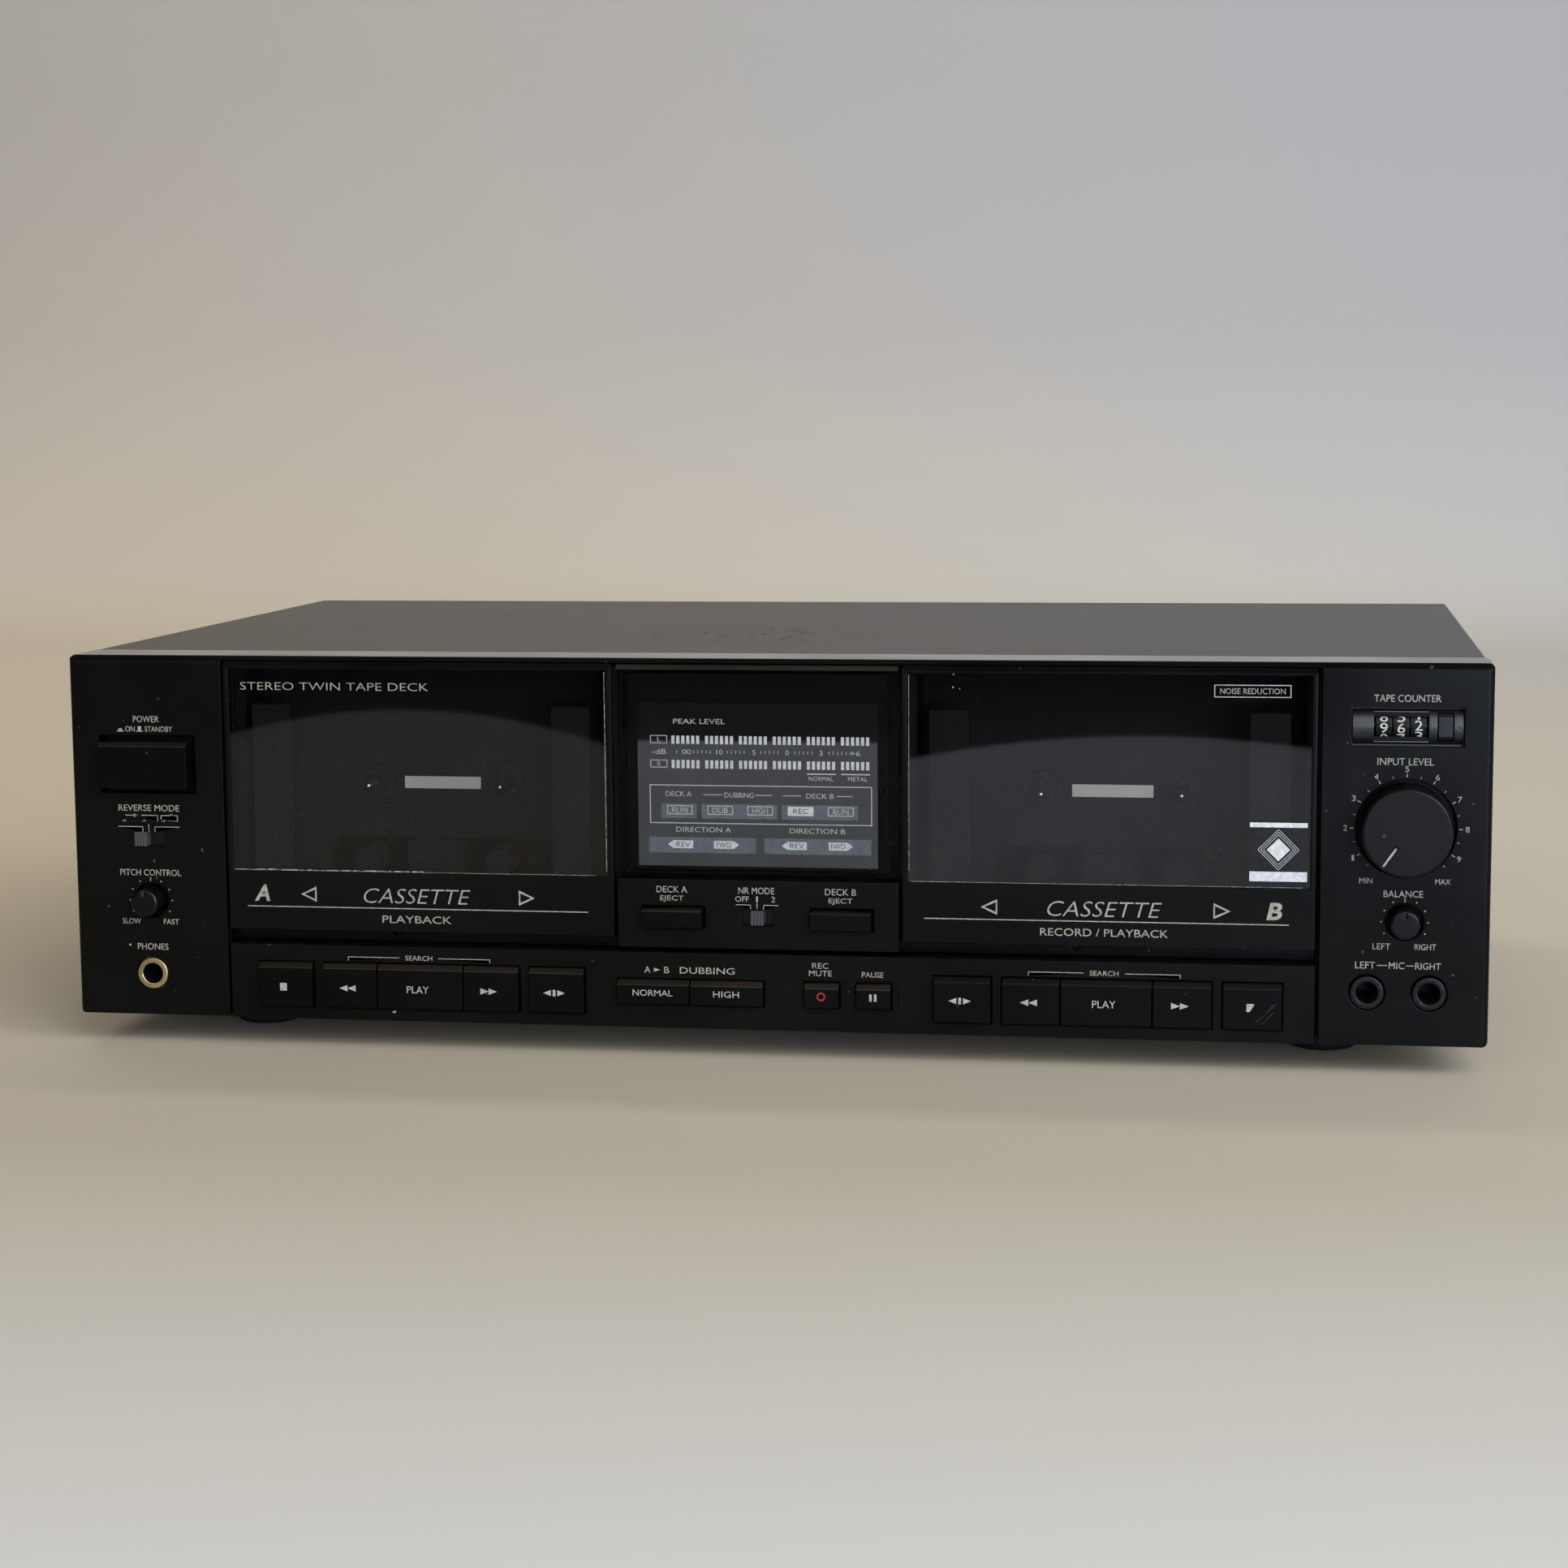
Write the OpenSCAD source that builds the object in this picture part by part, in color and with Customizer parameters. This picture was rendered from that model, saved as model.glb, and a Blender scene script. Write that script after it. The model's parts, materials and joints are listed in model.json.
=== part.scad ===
// Double cassette deck: two tape wells with hinged doors, a level display, transport keys and rotary knobs.
// Sizes in millimetres. The part stands on its feet at z = 0, with the front facing -Y.

/* [Casing] */
// Width of the front panel
panel_w = 435; // [425:1:455]
// Height of the front panel without the feet
panel_h = 113.4; // [113.4:0.2:125]
// Depth of the front panel moulding, back to the seam with the cover
panel_depth = 21; // [19:0.5:26]
// Thickness of the end faces of the front panel
panel_wall = 3; // [2.4:0.1:3.4]
// Thickness of the side, top and bottom walls of the front panel
shell_wall = 2.2; // [1.8:0.1:3]
// Bevel along the top front edge of the panel
panel_bevel = 1.8; // [0.8:0.1:3]
// Radius of the corners of the front panel
panel_corner = 1.8; // [0.6:0.1:3]
// Distance from the panel's face to the rear edge of the cover
cover_back = 256; // [235:1:300]
// Thickness of the cover, base and rear panel sheet
sheet_t = 1; // [0.8:0.1:1.6]
// Step from the panel's ends in to the sides of the cover
cover_inset = 1; // [0.5:0.1:2]
// Height of the feet below the panel
foot_h = 9.6; // [6:0.2:16]
// Radius of a foot
foot_r = 11; // [8:0.5:16]

/* [Front bay] */
// Width of each end panel beside the bay
end_w = 49.3; // [47:0.1:52]
// Gap between neighbouring front pieces
groove_w = 1.2; // [0.8:0.1:1.6]
// Width of a cassette door
door_w = 122.6; // [121:0.1:124]
// Height of a cassette door
door_h = 83.5; // [82:0.1:83.9]
// Height of the bottom edge of the doors above the panel's bottom edge
door_z = 28; // [27.6:0.1:28.4]
// Step of the doors, lens and key strip in front of the end panels
front_proud = 0.8; // [0.2:0.1:1.4]
// Depth of the bay behind the panel's face
bay_depth = 9; // [8.6:0.1:10.4]
// Height of the smoked windows in the doors
window_h = 63.5; // [60:0.5:64]
// Border of the door round its window
door_border = 1.6; // [1.2:0.1:2.4]
// Height of the control strip with the keys
strip_h = 23.4; // [23:0.1:23.6]
// Height of the centre panel's upper edge, under the display lens
centre_top = 46.1; // [44:0.1:48]

/* [Tape wells] */
// Depth of the well's back plate behind the panel's face
well_y = 29; // [27:0.5:32]
// Height of the reel axes above the panel's bottom edge
reel_z = 71.1; // [70:0.1:72]
// Distance between the two reel axes of a cassette
reel_spacing = 42.5; // [42:0.1:43]
// Radius of the openings for the reel spindles
reel_hole_r = 6.1; // [5.5:0.1:7]
// Width of the pocket for a cassette
pocket_w = 104; // [102:0.5:106]
// Lift of the head bridge into the cassette
head_lift = 4; // [2:0.5:5]
// Radius of the capstan shaft
capstan_r = 1.25; // [1:0.05:1.5]
// Radius of the capstan's flywheel
flywheel_r = 22; // [15:0.5:24]

/* [Keys and buttons] */
// Height of the openings for the transport keys
key_h = 14.7; // [12:0.1:16]
// Bottom edge of the transport key openings
key_z = 3.6; // [3:0.1:5]
// Width of the openings for the stop and direction keys
single_key_w = 18; // [14:0.1:20]
// Width of the opening shared by rewind, play and fast forward
triple_key_w = 63.1; // [58:0.1:65]
// Width of a play key
play_w = 27; // [22:0.1:32]
// Distance of the stop and direction keys from the play key
single_key_off = 43.2; // [42.8:0.1:43.8]
// How far the keys stand out of the strip
key_proud = 2.2; // [1.6:0.1:3]
// Travel of the keys
key_travel = 1.6; // [0.8:0.1:1.8]
// Width of the opening shared by the two dubbing keys
dub_w = 46.1; // [36:0.1:50]
// Width of the record and pause key openings
small_key_w = 11.3; // [9:0.1:13]
// Height of the dubbing, record and pause key openings
small_key_h = 8.4; // [7:0.1:10]
// Bottom edge of the dubbing, record and pause key openings
small_key_z = 7; // [5:0.1:8]
// Width of the power button
power_w = 28.6; // [24:0.1:32]
// Height of the power button
power_h = 14.6; // [12:0.1:18]
// How far the power button stands out
power_proud = 4.6; // [4:0.1:6]
// Travel of the power button
power_travel = 3.5; // [2:0.1:3.8]
// Width of an eject button
eject_w = 18.6; // [14:0.1:22]
// Height of an eject button
eject_h = 6; // [5:0.1:8]
// How far the eject buttons stand out
eject_proud = 4; // [3.2:0.1:5]
// Travel of the eject buttons
eject_travel = 2.8; // [1.5:0.1:3]

/* [Knobs and switches] */
// Radius of the input level knob
level_r = 13; // [10:0.1:14]
// How far the input level knob stands out
level_proud = 11; // [8:0.1:15]
// Gap round the input level knob in its recess
level_gap = 1.6; // [1:0.1:2.5]
// Radius of the pitch and balance knobs
small_knob_r = 4.3; // [3.5:0.1:5]
// How far the pitch and balance knobs stand out
small_knob_proud = 6.5; // [5:0.1:9]
// Gap round the pitch and balance knobs in their recesses
small_knob_gap = 1.3; // [0.8:0.1:2]
// Depth of the recesses round the knobs
recess_depth = 5; // [4:0.1:7]
// Length of the opening of a slide switch
slide_slot_w = 9.8; // [8:0.1:12]
// Height of the opening of a slide switch
slide_slot_h = 5.1; // [4:0.1:6]
// Step from one position of a slide switch to the next
slide_step = 2.7; // [1.5:0.1:2.8]

/* [Counter and sockets] */
// Width of the counter's opening
counter_w = 32.3; // [30:0.1:36]
// Height of the counter's opening
counter_h = 11.4; // [10:0.1:13]
// Radius of the number wheels
wheel_r = 5.2; // [4.8:0.1:6]
// Distance from one number wheel to the next
wheel_pitch = 5; // [4.5:0.1:5.6]
// Travel of the counter's reset button
reset_travel = 2; // [1:0.1:3]
// Radius of the bores of the phones and microphone sockets
jack_bore_r = 3.2; // [3.15:0.05:3.3]
// Depth of those bores
jack_bore_l = 18; // [15:0.5:22]
// Length of the rear phono sockets
phono_l = 8; // [6:0.5:12]
// Radius of the mains cord gland's bore
gland_bore_r = 3.5; // [2.5:0.1:4]

/* [Hidden] */
$fn = 48;

// Colours
fascia = [0.10, 0.10, 0.11];
key_black = [0.13, 0.13, 0.14];
cover_paint = [0.16, 0.15, 0.15];
zinc = [0.62, 0.62, 0.60];
smoke = [0.20, 0.20, 0.22, 0.6];
well_black = [0.15, 0.15, 0.16];
print_grey = [0.45, 0.45, 0.46];
gold = [0.80, 0.66, 0.38];
steel = [0.70, 0.70, 0.72];
rubber = [0.08, 0.08, 0.08];
board_green = [0.16, 0.34, 0.20];
copper = [0.60, 0.38, 0.22];

// Clearances
cut = 1;              // overlap of a cutting body past the face that it cuts
running = 0.04;       // radial clearance of a shaft in its bearing
play_gap = 0.3;       // gap between pieces that slide past each other
key_clear = 0.4;      // gap round a key in its opening
eject_clear = 0.45;   // gap round an eject button in its opening
power_clear = 1.35;   // gap beside the power button in its opening
power_clear_z = 1.75; // gap above and below the power button in its opening
lip = 0.6;            // overlap of a button's retaining lip behind the panel
seam = 0.4;           // gap at the seam between panel and cover

// Front bay, worked out from the panel
bay_half = panel_w / 2 - end_w;
end_x = panel_w / 2 - end_w / 2;
door_x = bay_half - groove_w - door_w / 2;
centre_half = door_x - door_w / 2 - groove_w;
strip_half = bay_half - groove_w;
front_y = -front_proud;
front_wall = 3;
front_back = front_y + front_wall;
backing_t = 2;
backing_back = bay_depth + backing_t;
bay_gap = 0.5;
bay_top = door_z + door_h + bay_gap;
bay_wall = 2;
rim = 1.6;
centre_gap = 1.5;
centre_z = strip_h + centre_gap;
lens_gap = 0.2;
plate_margin = 1;
plate_t = 1.6;
post_r = 2;
post_in = 4;

// Doors: the window fills the frame above the lettered band
door_top = door_z + door_h;
door_back = 3;
window_top = door_top - door_border;
window_z = window_top - window_h;
window_half = door_w / 2 - door_border;
window_fit = 0.1;
window_sink = 0.7;
edge_bevel = 1.4;

// Door hinge, with its trunnions on the holder and its bearings in the well's cheeks
hinge_y = 7;
hinge_up = 3;
hinge_z = door_z + hinge_up;
trunnion_r = 2;
ear_r = 3.2;
cheek_r = 3.6;
cheek_step = 0.1;
cheek_out = door_w / 2 - cheek_step;
cheek_t = 3;
cheek_in = cheek_out - cheek_t;
cheek_top = hinge_z + cheek_r + play_gap;
ear_gap = 0.5;
holder_half = cheek_in - ear_gap;
ear_t = 2.5;

// Cassette holder
holder_t = 1.6;
holder_hem = 0.9;
holder_rest = 10.5;
holder_back = well_y - holder_rest;
holder_rise = 27;
lip_drop = 11;
holder_top = reel_z + holder_rise;
lip_z = reel_z - lip_drop;
lip_w = 5;
flap_w = 12;
ledge_in = 35;

// Sill under the doors
sill_gap = 0.8;
sill_top = door_z - sill_gap;
sill_z = strip_h + play_gap;
notch_r = 1.8;
notch_off = -9.75;

// Well
well_clear = 4.6;
well_in = pocket_w / 2 + holder_t + well_clear;
well_out = well_in + cheek_t;
well_plate_t = 2;
well_flange = 1.5;
flange_half = max(well_out, cheek_out) + well_flange;
well_step = 0.5;
well_wall_z = sill_z + play_gap;
well_floor = sill_top + well_step;
well_top = door_top - edge_bevel;
label_corner = 3;
plate_step = 0.5;
slot_w = 24.9;
slot_h = 4;
label_w = 67;
label_h = 17.5;
head_half = 33.4;
bridge_drop = 31;
head_drop = 17.4;
head_z = reel_z - bridge_drop;
head_top = reel_z - head_drop;
capstan_off = 30.5;
capstan_drop = 19;
capstan_z = reel_z - capstan_drop;
capstan_gap = 1;
head_flare = 4;
head_size = [16, 12];
head_mid = head_top - head_size.y / 2;
head_reach = 3;
head_front = holder_back - head_reach;
roller_r = 4.4;
roller_off = 21;
bridge_t = 2.7;
bridge_back = well_y - play_gap;
spindle_tip = well_y - holder_rest;
tip_l = 2;
tip_r = 1;
hub_r = 2.9;
fin_r = 4.5;
fin_t = 1.4;
fin_start = 3;
reel_base_h = 2;
reel_base_y = well_y - reel_base_h;
gear_r = 14;
gear_gap = 0.4;
gear_y = well_y + well_plate_t + gear_gap;
gear_t = 3;
flywheel_gap = 2;
flywheel_y = gear_y + gear_t + flywheel_gap;
flywheel_t = 10;
flywheel_rim = 4;
flywheel_web = 3;

// Controls
power_z = 79.3;
reverse_z = 55.75;
pitch_z = 36.4;
phones_z = 13.3;
counter_z = 94.6;
level_z = 64.75;
balance_z = 37;
mic_z = 15.8;
mic_off = 1.6;
mic_x = end_x - mic_off;
mic_spacing = 18;
jack_ring_r = 4.9;
jack_gap = 0.5;
eject_z = 34.4;
noise_z = 34.6;
cap_gap = 0.6;
power_gap = 4;
key_back = bay_depth - key_travel - cap_gap;
eject_back = bay_depth - eject_travel - cap_gap;
power_back = panel_depth - power_travel - power_gap;

// Middle controls, drawn for a centre panel of middle_w and spread with it
middle_w = 86.4;
middle_fit = 2 * centre_half / middle_w;
eject_x = 25.9 * middle_fit;
eject_span = eject_w * middle_fit;
noise_slot_w = slide_slot_w * middle_fit;
noise_step = slide_step * middle_fit;
dub_x = -20.85 * middle_fit;
dub_span = dub_w * middle_fit;
record_x = 19.75 * middle_fit;
pause_x = 35.6 * middle_fit;
small_key_span = small_key_w * middle_fit;
record_border = 2;
record_recess = 0.3;

// Key caps
key_bevel = 1.4;
key_split = 0.4;
side_key_w = (triple_key_w - 2 * key_clear - play_w - 2 * key_split) / 2;
dub_key_w = (dub_span - 2 * key_clear - key_split) / 2;
cap_lip_t = 1.4;
cap_foot_bevel = 0.4;
power_bevel = 1.2;
eject_bevel = 0.6;

// Switches, knobs and sockets behind the panel
slide_proud = 0.6;
slide_rib = 0.4;
slide_plate_t = 1.4;
slide_lap = 1;
slide_lap_z = 1.5;
knob_rim_r = 0.8;
pointer_w = 1;
pointer_depth = 0.4;
pot_shaft_r = 3;
pot_r = 8.5;
pot_l = 10;
level_turn_deg = 145;
jack_proud = 0.8;
jack_body_w = 15;
jack_body_back = 3;

// Counter
wheel_sink = 1.5;
shell_gap = 1.2;
counter_axis_y = wheel_r + wheel_sink;
counter_shell_r = wheel_r + shell_gap;
wheel_gap = 0.4;
wheel_shaft_r = 1.2;
wheels_w = 3 * wheel_pitch + 2 * wheel_gap;
wheels_off = 1.85;
reset_off = 10.85;
wheels_x = end_x - wheels_off;
reset_x = end_x + reset_off;
reset_w = 4.2;
reset_h = 8;
reset_front = 0.8;
reset_back = 9;
reset_bevel = 1.1;
counter_wall = 2;

// Casing, worked out from the panel
cover_half = panel_w / 2 - cover_inset;
cover_y = panel_depth + seam;
cover_z = 1.2;
inner_bend_r = 0.7;
bend_r = inner_bend_r + 0.8 * sheet_t;
base_z = shell_wall;
base_half = cover_half - sheet_t - play_gap;
base_flange = 14;
tongue_half = panel_w / 2 - shell_wall - 1;
rear_sink = 1.3;
rear_y = cover_back - sheet_t - rear_sink;
rear_face = rear_y + sheet_t;
foot_side = 45;
foot_front_in = 24;
foot_rear_in = 31;
foot_x = base_half - foot_side;
foot_front = panel_depth + foot_front_in;
foot_rear = cover_back - foot_rear_in;
foot_bevel = 1.5;
foot_taper = 0.8;
foot_dimple = 2;
screw_r = 1.8;
screw_gap = 0.2;
screw_l = 6;
screw_head_r = 4;
screw_head_h = 0.9;
screw_up = 8;
screw_in = 30;
screw_z = base_z + screw_up;
screw_front = panel_depth + screw_in;
screw_rear = cover_back - screw_in;
phono_plate_t = 2;
phono_r = 4.15;
phono_pitch = 17;
phono_gap = 0.6;
phono_bore_r = 1.7;
phono_tail = 3;
phono_in = 95.2;
phono_x = base_half - phono_in;
phono_z = 62;
gland_in = 50.2;
gland_x = gland_in - base_half;
gland_z = 40;
gland_wall = 2.3;
gland_gap = 0.2;
gland_flange = 5;
gland_l = 3;
rear_end = rear_face + phono_plate_t + phono_l;

// Electrics, placed from the rear corners of the base tray
standoff_h = 10;
standoff_r = 3;
board_t = 1.6;
board_edge = 5;
board_size = [180, 105];
board_in = [25.2, 13.7];
board_hi = [base_half, rear_y] - board_in;
board_lo = board_hi - board_size;
board_z = base_z + sheet_t + standoff_h;
can_cols = 6;
can_rows = 4;
can_r = 4;
can_h = 10;
can_step = 4;
sink_count = 4;
sink_size = [8, 25, 5];
core_size = [62, 34, 52];
coil_size = [40, 50, 34];
transformer_in = [75.2, 48.7];

// The face of the panel in the part's own frame, with the origin under the middle of the whole part
face_y = (level_proud - rear_end) / 2;

// Moves from the panel's frame (y back from its face, z up from its bottom edge) to the part's own frame
module in_deck() {
  translate([0, face_y, foot_h]) children();
}

// Box from its lowest to its highest corner
module block(lo, hi) {
  translate(lo) cube(hi - lo);
}

// Box of a given width and height round a point [x, z] of the front, from depth y0 to y1
module pad(at, size, y0, y1) {
  block([at.x - size.x / 2, y0, at.y - size.y / 2], [at.x + size.x / 2, y1, at.y + size.y / 2]);
}

// Cylinder from depth y0 to y1 at a point [x, z] of the front
module rod(at, r, y0, y1) {
  translate([at.x, y0, at.y]) rotate([-90, 0, 0]) cylinder(r = r, h = y1 - y0);
}

// Cylinder along X from x0 to x1 at [y, z]
module axle(x0, x1, r, at) {
  translate([x0, at.x, at.y]) rotate([0, 90, 0]) cylinder(r = r, h = x1 - x0);
}

// Extrudes a [y, z] outline from x0 to x1
module along_x(x0, x1) {
  translate([x0, 0, 0]) rotate([90, 0, 90]) linear_extrude(x1 - x0) children();
}

// Extrudes an [x, z] outline from depth y0 to y1
module along_y(y0, y1) {
  translate([0, y1, 0]) rotate([90, 0, 0]) linear_extrude(y1 - y0) children();
}

// Rectangle with round corners, from its lowest to its highest corner
module round_rect(lo, hi, r) {
  translate([lo.x, lo.y + r]) square([hi.x - lo.x, hi.y - lo.y - 2 * r]);
  translate([lo.x + r, lo.y]) square([hi.x - lo.x - 2 * r, hi.y - lo.y]);
  for (x = [lo.x + r, hi.x - r], y = [lo.y + r, hi.y - r]) translate([x, y]) circle(r);
}

// Plate in [y, z] with its top front edge bevelled
module bevelled_plate(x0, x1, y0, y1, z0, z1, bevel) {
  along_x(x0, x1)
    polygon([[y0, z0], [y1, z0], [y1, z1], [y0 + bevel, z1], [y0, z1 - bevel]]);
}

// Push button whose lips above and below hold it behind a wall
module push_cap(x, w, z, h, front, bevel, wall_back, clear, back) {
  lip_y0 = wall_back + play_gap;
  lip_y1 = lip_y0 + cap_lip_t;
  top = z + h;
  reach = clear + lip;
  foot = cap_foot_bevel;
  along_x(x - w / 2, x + w / 2) {
    polygon([[front, z + foot], [front + foot, z], [back, z], [back, top], [front + bevel, top],
      [front, top - bevel]]);
    translate([lip_y0, z - reach]) square([cap_lip_t, h + 2 * reach]);
  }
}

// Knob with a rounded rim that faces the viewer, on a shaft that runs back into its potentiometer
module knob(at, r, proud, bottom, shaft_end) {
  inner_r = r - knob_rim_r;
  translate([at.x, 0, at.y]) rotate([90, 0, 0]) rotate_extrude() {
    translate([0, -bottom]) square([r, bottom + proud - knob_rim_r]);
    translate([0, -bottom]) square([inner_r, bottom + proud]);
    translate([inner_r, proud - knob_rim_r]) circle(knob_rim_r);
  }
  rod(at, pot_shaft_r, bottom - cut, shaft_end);
}

// Recess for a knob in an end panel: its cup behind the panel's wall, and what is cut out of it
module recess_cup(at, r) {
  rod(at, r + shell_wall, panel_wall - cut, recess_depth + shell_wall);
}

module recess_cut(at, r) {
  rod(at, r, -cut, recess_depth);
  rod(at, pot_shaft_r + play_gap, 0, recess_depth + shell_wall + cut);
}

function power_at() = [-end_x, power_z];
function reverse_at() = [-end_x, reverse_z];
function pitch_at() = [-end_x, pitch_z];
function phones_at() = [-end_x, phones_z];
function level_at() = [end_x, level_z];
function balance_at() = [end_x, balance_z];
function mic_at(side) = [mic_x + side * mic_spacing / 2, mic_z];
level_hole_r = level_r + level_gap;
small_hole_r = small_knob_r + small_knob_gap;

// Front panel: end panels, top rail and bottom rail in one moulding
module panel_outline() {
  intersection() {
    along_y(0, panel_depth) round_rect([-panel_w / 2, 0], [panel_w / 2, panel_h], panel_corner);
    bevelled_plate(-panel_w / 2, panel_w / 2, 0, panel_depth, 0, panel_h, panel_bevel);
    linear_extrude(panel_h) union() {
      round_rect([-panel_w / 2, 0], [panel_w / 2, panel_depth], panel_corner);
      translate([-panel_w / 2, panel_depth / 2]) square([panel_w, panel_depth / 2]);
    }
  }
}

module front_panel() color(fascia) in_deck() difference() {
  union() {
    difference() {
      panel_outline();
      block([-panel_w / 2 + shell_wall, panel_wall, shell_wall],
        [panel_w / 2 - shell_wall, panel_depth + cut, panel_h - shell_wall]);
      block([-bay_half, -cut, -cut], [bay_half, bay_depth, bay_top]);
    }
    recess_cup(pitch_at(), small_hole_r);
    recess_cup(level_at(), level_hole_r);
    recess_cup(balance_at(), small_hole_r);
  }
  pad(power_at(), [power_w + 2 * power_clear, power_h + 2 * power_clear_z], -cut, panel_wall + cut);
  pad(reverse_at(), [slide_slot_w, slide_slot_h], -cut, panel_wall + cut);
  recess_cut(pitch_at(), small_hole_r);
  recess_cut(level_at(), level_hole_r);
  recess_cut(balance_at(), small_hole_r);
  rod(phones_at(), jack_ring_r + jack_gap, -cut, panel_wall + cut);
  for (side = [-1, 1]) rod(mic_at(side), jack_ring_r + jack_gap, -cut, panel_wall + cut);
  pad([end_x, counter_z], [counter_w, counter_h], -cut, panel_wall + cut);
}

// Bay frame: the backing with an opening for each door, and the walls that close the bay at its ends
module bay_frame() color(fascia) in_deck() {
  inner_top = panel_h - shell_wall;
  difference() {
    block([-bay_half - bay_wall, bay_depth, shell_wall], [bay_half + bay_wall, backing_back, inner_top]);
    for (side = [-1, 1])
      block([side * door_x - door_w / 2 - play_gap, bay_depth - cut, sill_top],
        [side * door_x + door_w / 2 + play_gap, backing_back + cut, door_top - door_border]);
  }
  for (side = [-1, 1]) mirror([side < 0 ? 1 : 0, 0, 0])
    block([bay_half, panel_wall, shell_wall], [bay_half + bay_wall, backing_back, inner_top]);
}

// Centre panel with the eject buttons, and the sill that runs under both doors
module centre_panel() color(fascia) in_deck() difference() {
  union() {
    difference() {
      block([-centre_half, front_y, centre_z], [centre_half, bay_depth, centre_top]);
      block([-centre_half + rim, front_back, centre_z + rim],
        [centre_half - rim, bay_depth + cut, centre_top - rim]);
    }
    block([-strip_half, hinge_y, sill_z], [strip_half, bay_depth, sill_top]);
  }
  for (side = [-1, 1]) {
    pad([side * eject_x, eject_z], [eject_span + 2 * eject_clear, eject_h + 2 * eject_clear],
      front_y - cut, front_back + cut);
    rod([side * door_x + notch_off, sill_top], notch_r, hinge_y - cut, bay_depth + cut);
  }
  pad([0, noise_z], [noise_slot_w, slide_slot_h], front_y - cut, front_back + cut);
}

// Control strip with the openings of all keys
function stop_x(side) = side * (door_x + single_key_off);
function direction_x(side) = side * (door_x - single_key_off);

module key_opening(x, w, z, h) {
  block([x - w / 2, front_y - cut, z], [x + w / 2, front_back + cut, z + h]);
}

module control_strip() color(fascia) in_deck() difference() {
  block([-strip_half, front_y, 0], [strip_half, bay_depth, strip_h]);
  block([-strip_half + rim, front_back, rim], [strip_half - rim, bay_depth + cut, strip_h - rim]);
  for (side = [-1, 1]) {
    key_opening(stop_x(side), single_key_w, key_z, key_h);
    key_opening(side * door_x, triple_key_w, key_z, key_h);
    key_opening(direction_x(side), single_key_w, key_z, key_h);
  }
  key_opening(dub_x, dub_span, small_key_z, small_key_h);
  key_opening(record_x, small_key_span, small_key_z, small_key_h);
  key_opening(pause_x, small_key_span, small_key_z, small_key_h);
  block([record_x - small_key_span / 2 - record_border, front_y - cut, small_key_z - record_border / 2],
    [pause_x + small_key_span / 2 + record_border, front_y + record_recess,
      small_key_z + small_key_h + record_border / 4]);
}

// Cover: a sheet bent down at both sides
module bent_sheet(half, z0, z1, r) {
  translate([-half, z0]) square([2 * half, z1 - z0 - r]);
  translate([-half + r, z0]) square([2 * half - 2 * r, z1 - z0]);
  for (side = [-1, 1]) translate([side * (half - r), z1 - r]) circle(r);
}

module side_screw_holes(r) {
  for (side = [-1, 1], y = [screw_front, screw_rear])
    axle(side * cover_half - 4 * sheet_t, side * cover_half + 4 * sheet_t, r, [y, screw_z]);
}

module top_cover() color(cover_paint) in_deck() difference() {
  along_y(cover_y, cover_back) difference() {
    bent_sheet(cover_half, cover_z, panel_h, bend_r);
    translate([0, -cut])
      bent_sheet(cover_half - sheet_t, cover_z, panel_h - sheet_t + cut, inner_bend_r);
  }
  side_screw_holes(screw_r + screw_gap);
}

// Base tray: its front tongue lies on the front panel's bottom wall
module chassis_base() color(zinc) in_deck() difference() {
  union() {
    block([-tongue_half, backing_back + play_gap, base_z], [tongue_half, cover_y, base_z + sheet_t]);
    block([-base_half, cover_y, base_z], [base_half, rear_face, base_z + sheet_t]);
    for (side = [-1, 1])
      block([side * base_half - (side + 1) / 2 * sheet_t, cover_y, base_z],
        [side * base_half + (1 - side) / 2 * sheet_t, rear_y, base_z + base_flange]);
    for (x = [board_lo.x, board_hi.x], y = [board_lo.y, board_hi.y])
      translate([x, y, base_z]) cylinder(r = standoff_r, h = sheet_t + standoff_h);
  }
  side_screw_holes(screw_r + screw_gap);
}

// Rear panel, standing on the base tray
function phono_at(col, row) = [phono_x, phono_z] + [col - 0.5, row - 0.5] * phono_pitch;

module rear_panel() color(zinc) in_deck() difference() {
  block([-base_half, rear_y, base_z + sheet_t], [base_half, rear_face, panel_h - sheet_t - play_gap]);
  for (col = [0, 1], row = [0, 1])
    rod(phono_at(col, row), phono_r + phono_gap, rear_y - cut, rear_face + cut);
  rod([gland_x, gland_z], gland_bore_r + gland_wall + gland_gap, rear_y - cut, rear_face + cut);
}

module feet() color(rubber) in_deck()
  for (side = [-1, 1], y = [foot_front, foot_rear]) translate([side * foot_x, y, -foot_h]) {
    rotate_extrude() difference() {
      polygon([[0, 0], [foot_r - foot_bevel, 0], [foot_r, foot_bevel], [foot_r - foot_taper, foot_h + base_z],
        [0, foot_h + base_z]]);
      square([foot_r / 3, foot_dimple]);
    }
  }

module cover_screws() color(steel) in_deck()
  for (side = [-1, 1], y = [screw_front, screw_rear]) mirror([side < 0 ? 1 : 0, 0, 0]) {
    axle(cover_half, cover_half + screw_head_h, screw_head_r, [y, screw_z]);
    axle(cover_half - screw_l, cover_half, screw_r, [y, screw_z]);
  }

// Display: a smoked lens whose rim stands on the backing, and the printed plate on its posts behind it
module display_window() color(smoke) in_deck() difference() {
  bevelled_plate(-centre_half, centre_half, front_y, bay_depth, centre_top + lens_gap, door_top,
    edge_bevel);
  block([-centre_half + rim, front_back, centre_top + rim],
    [centre_half - rim, bay_depth + cut, door_top - rim]);
}

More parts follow.
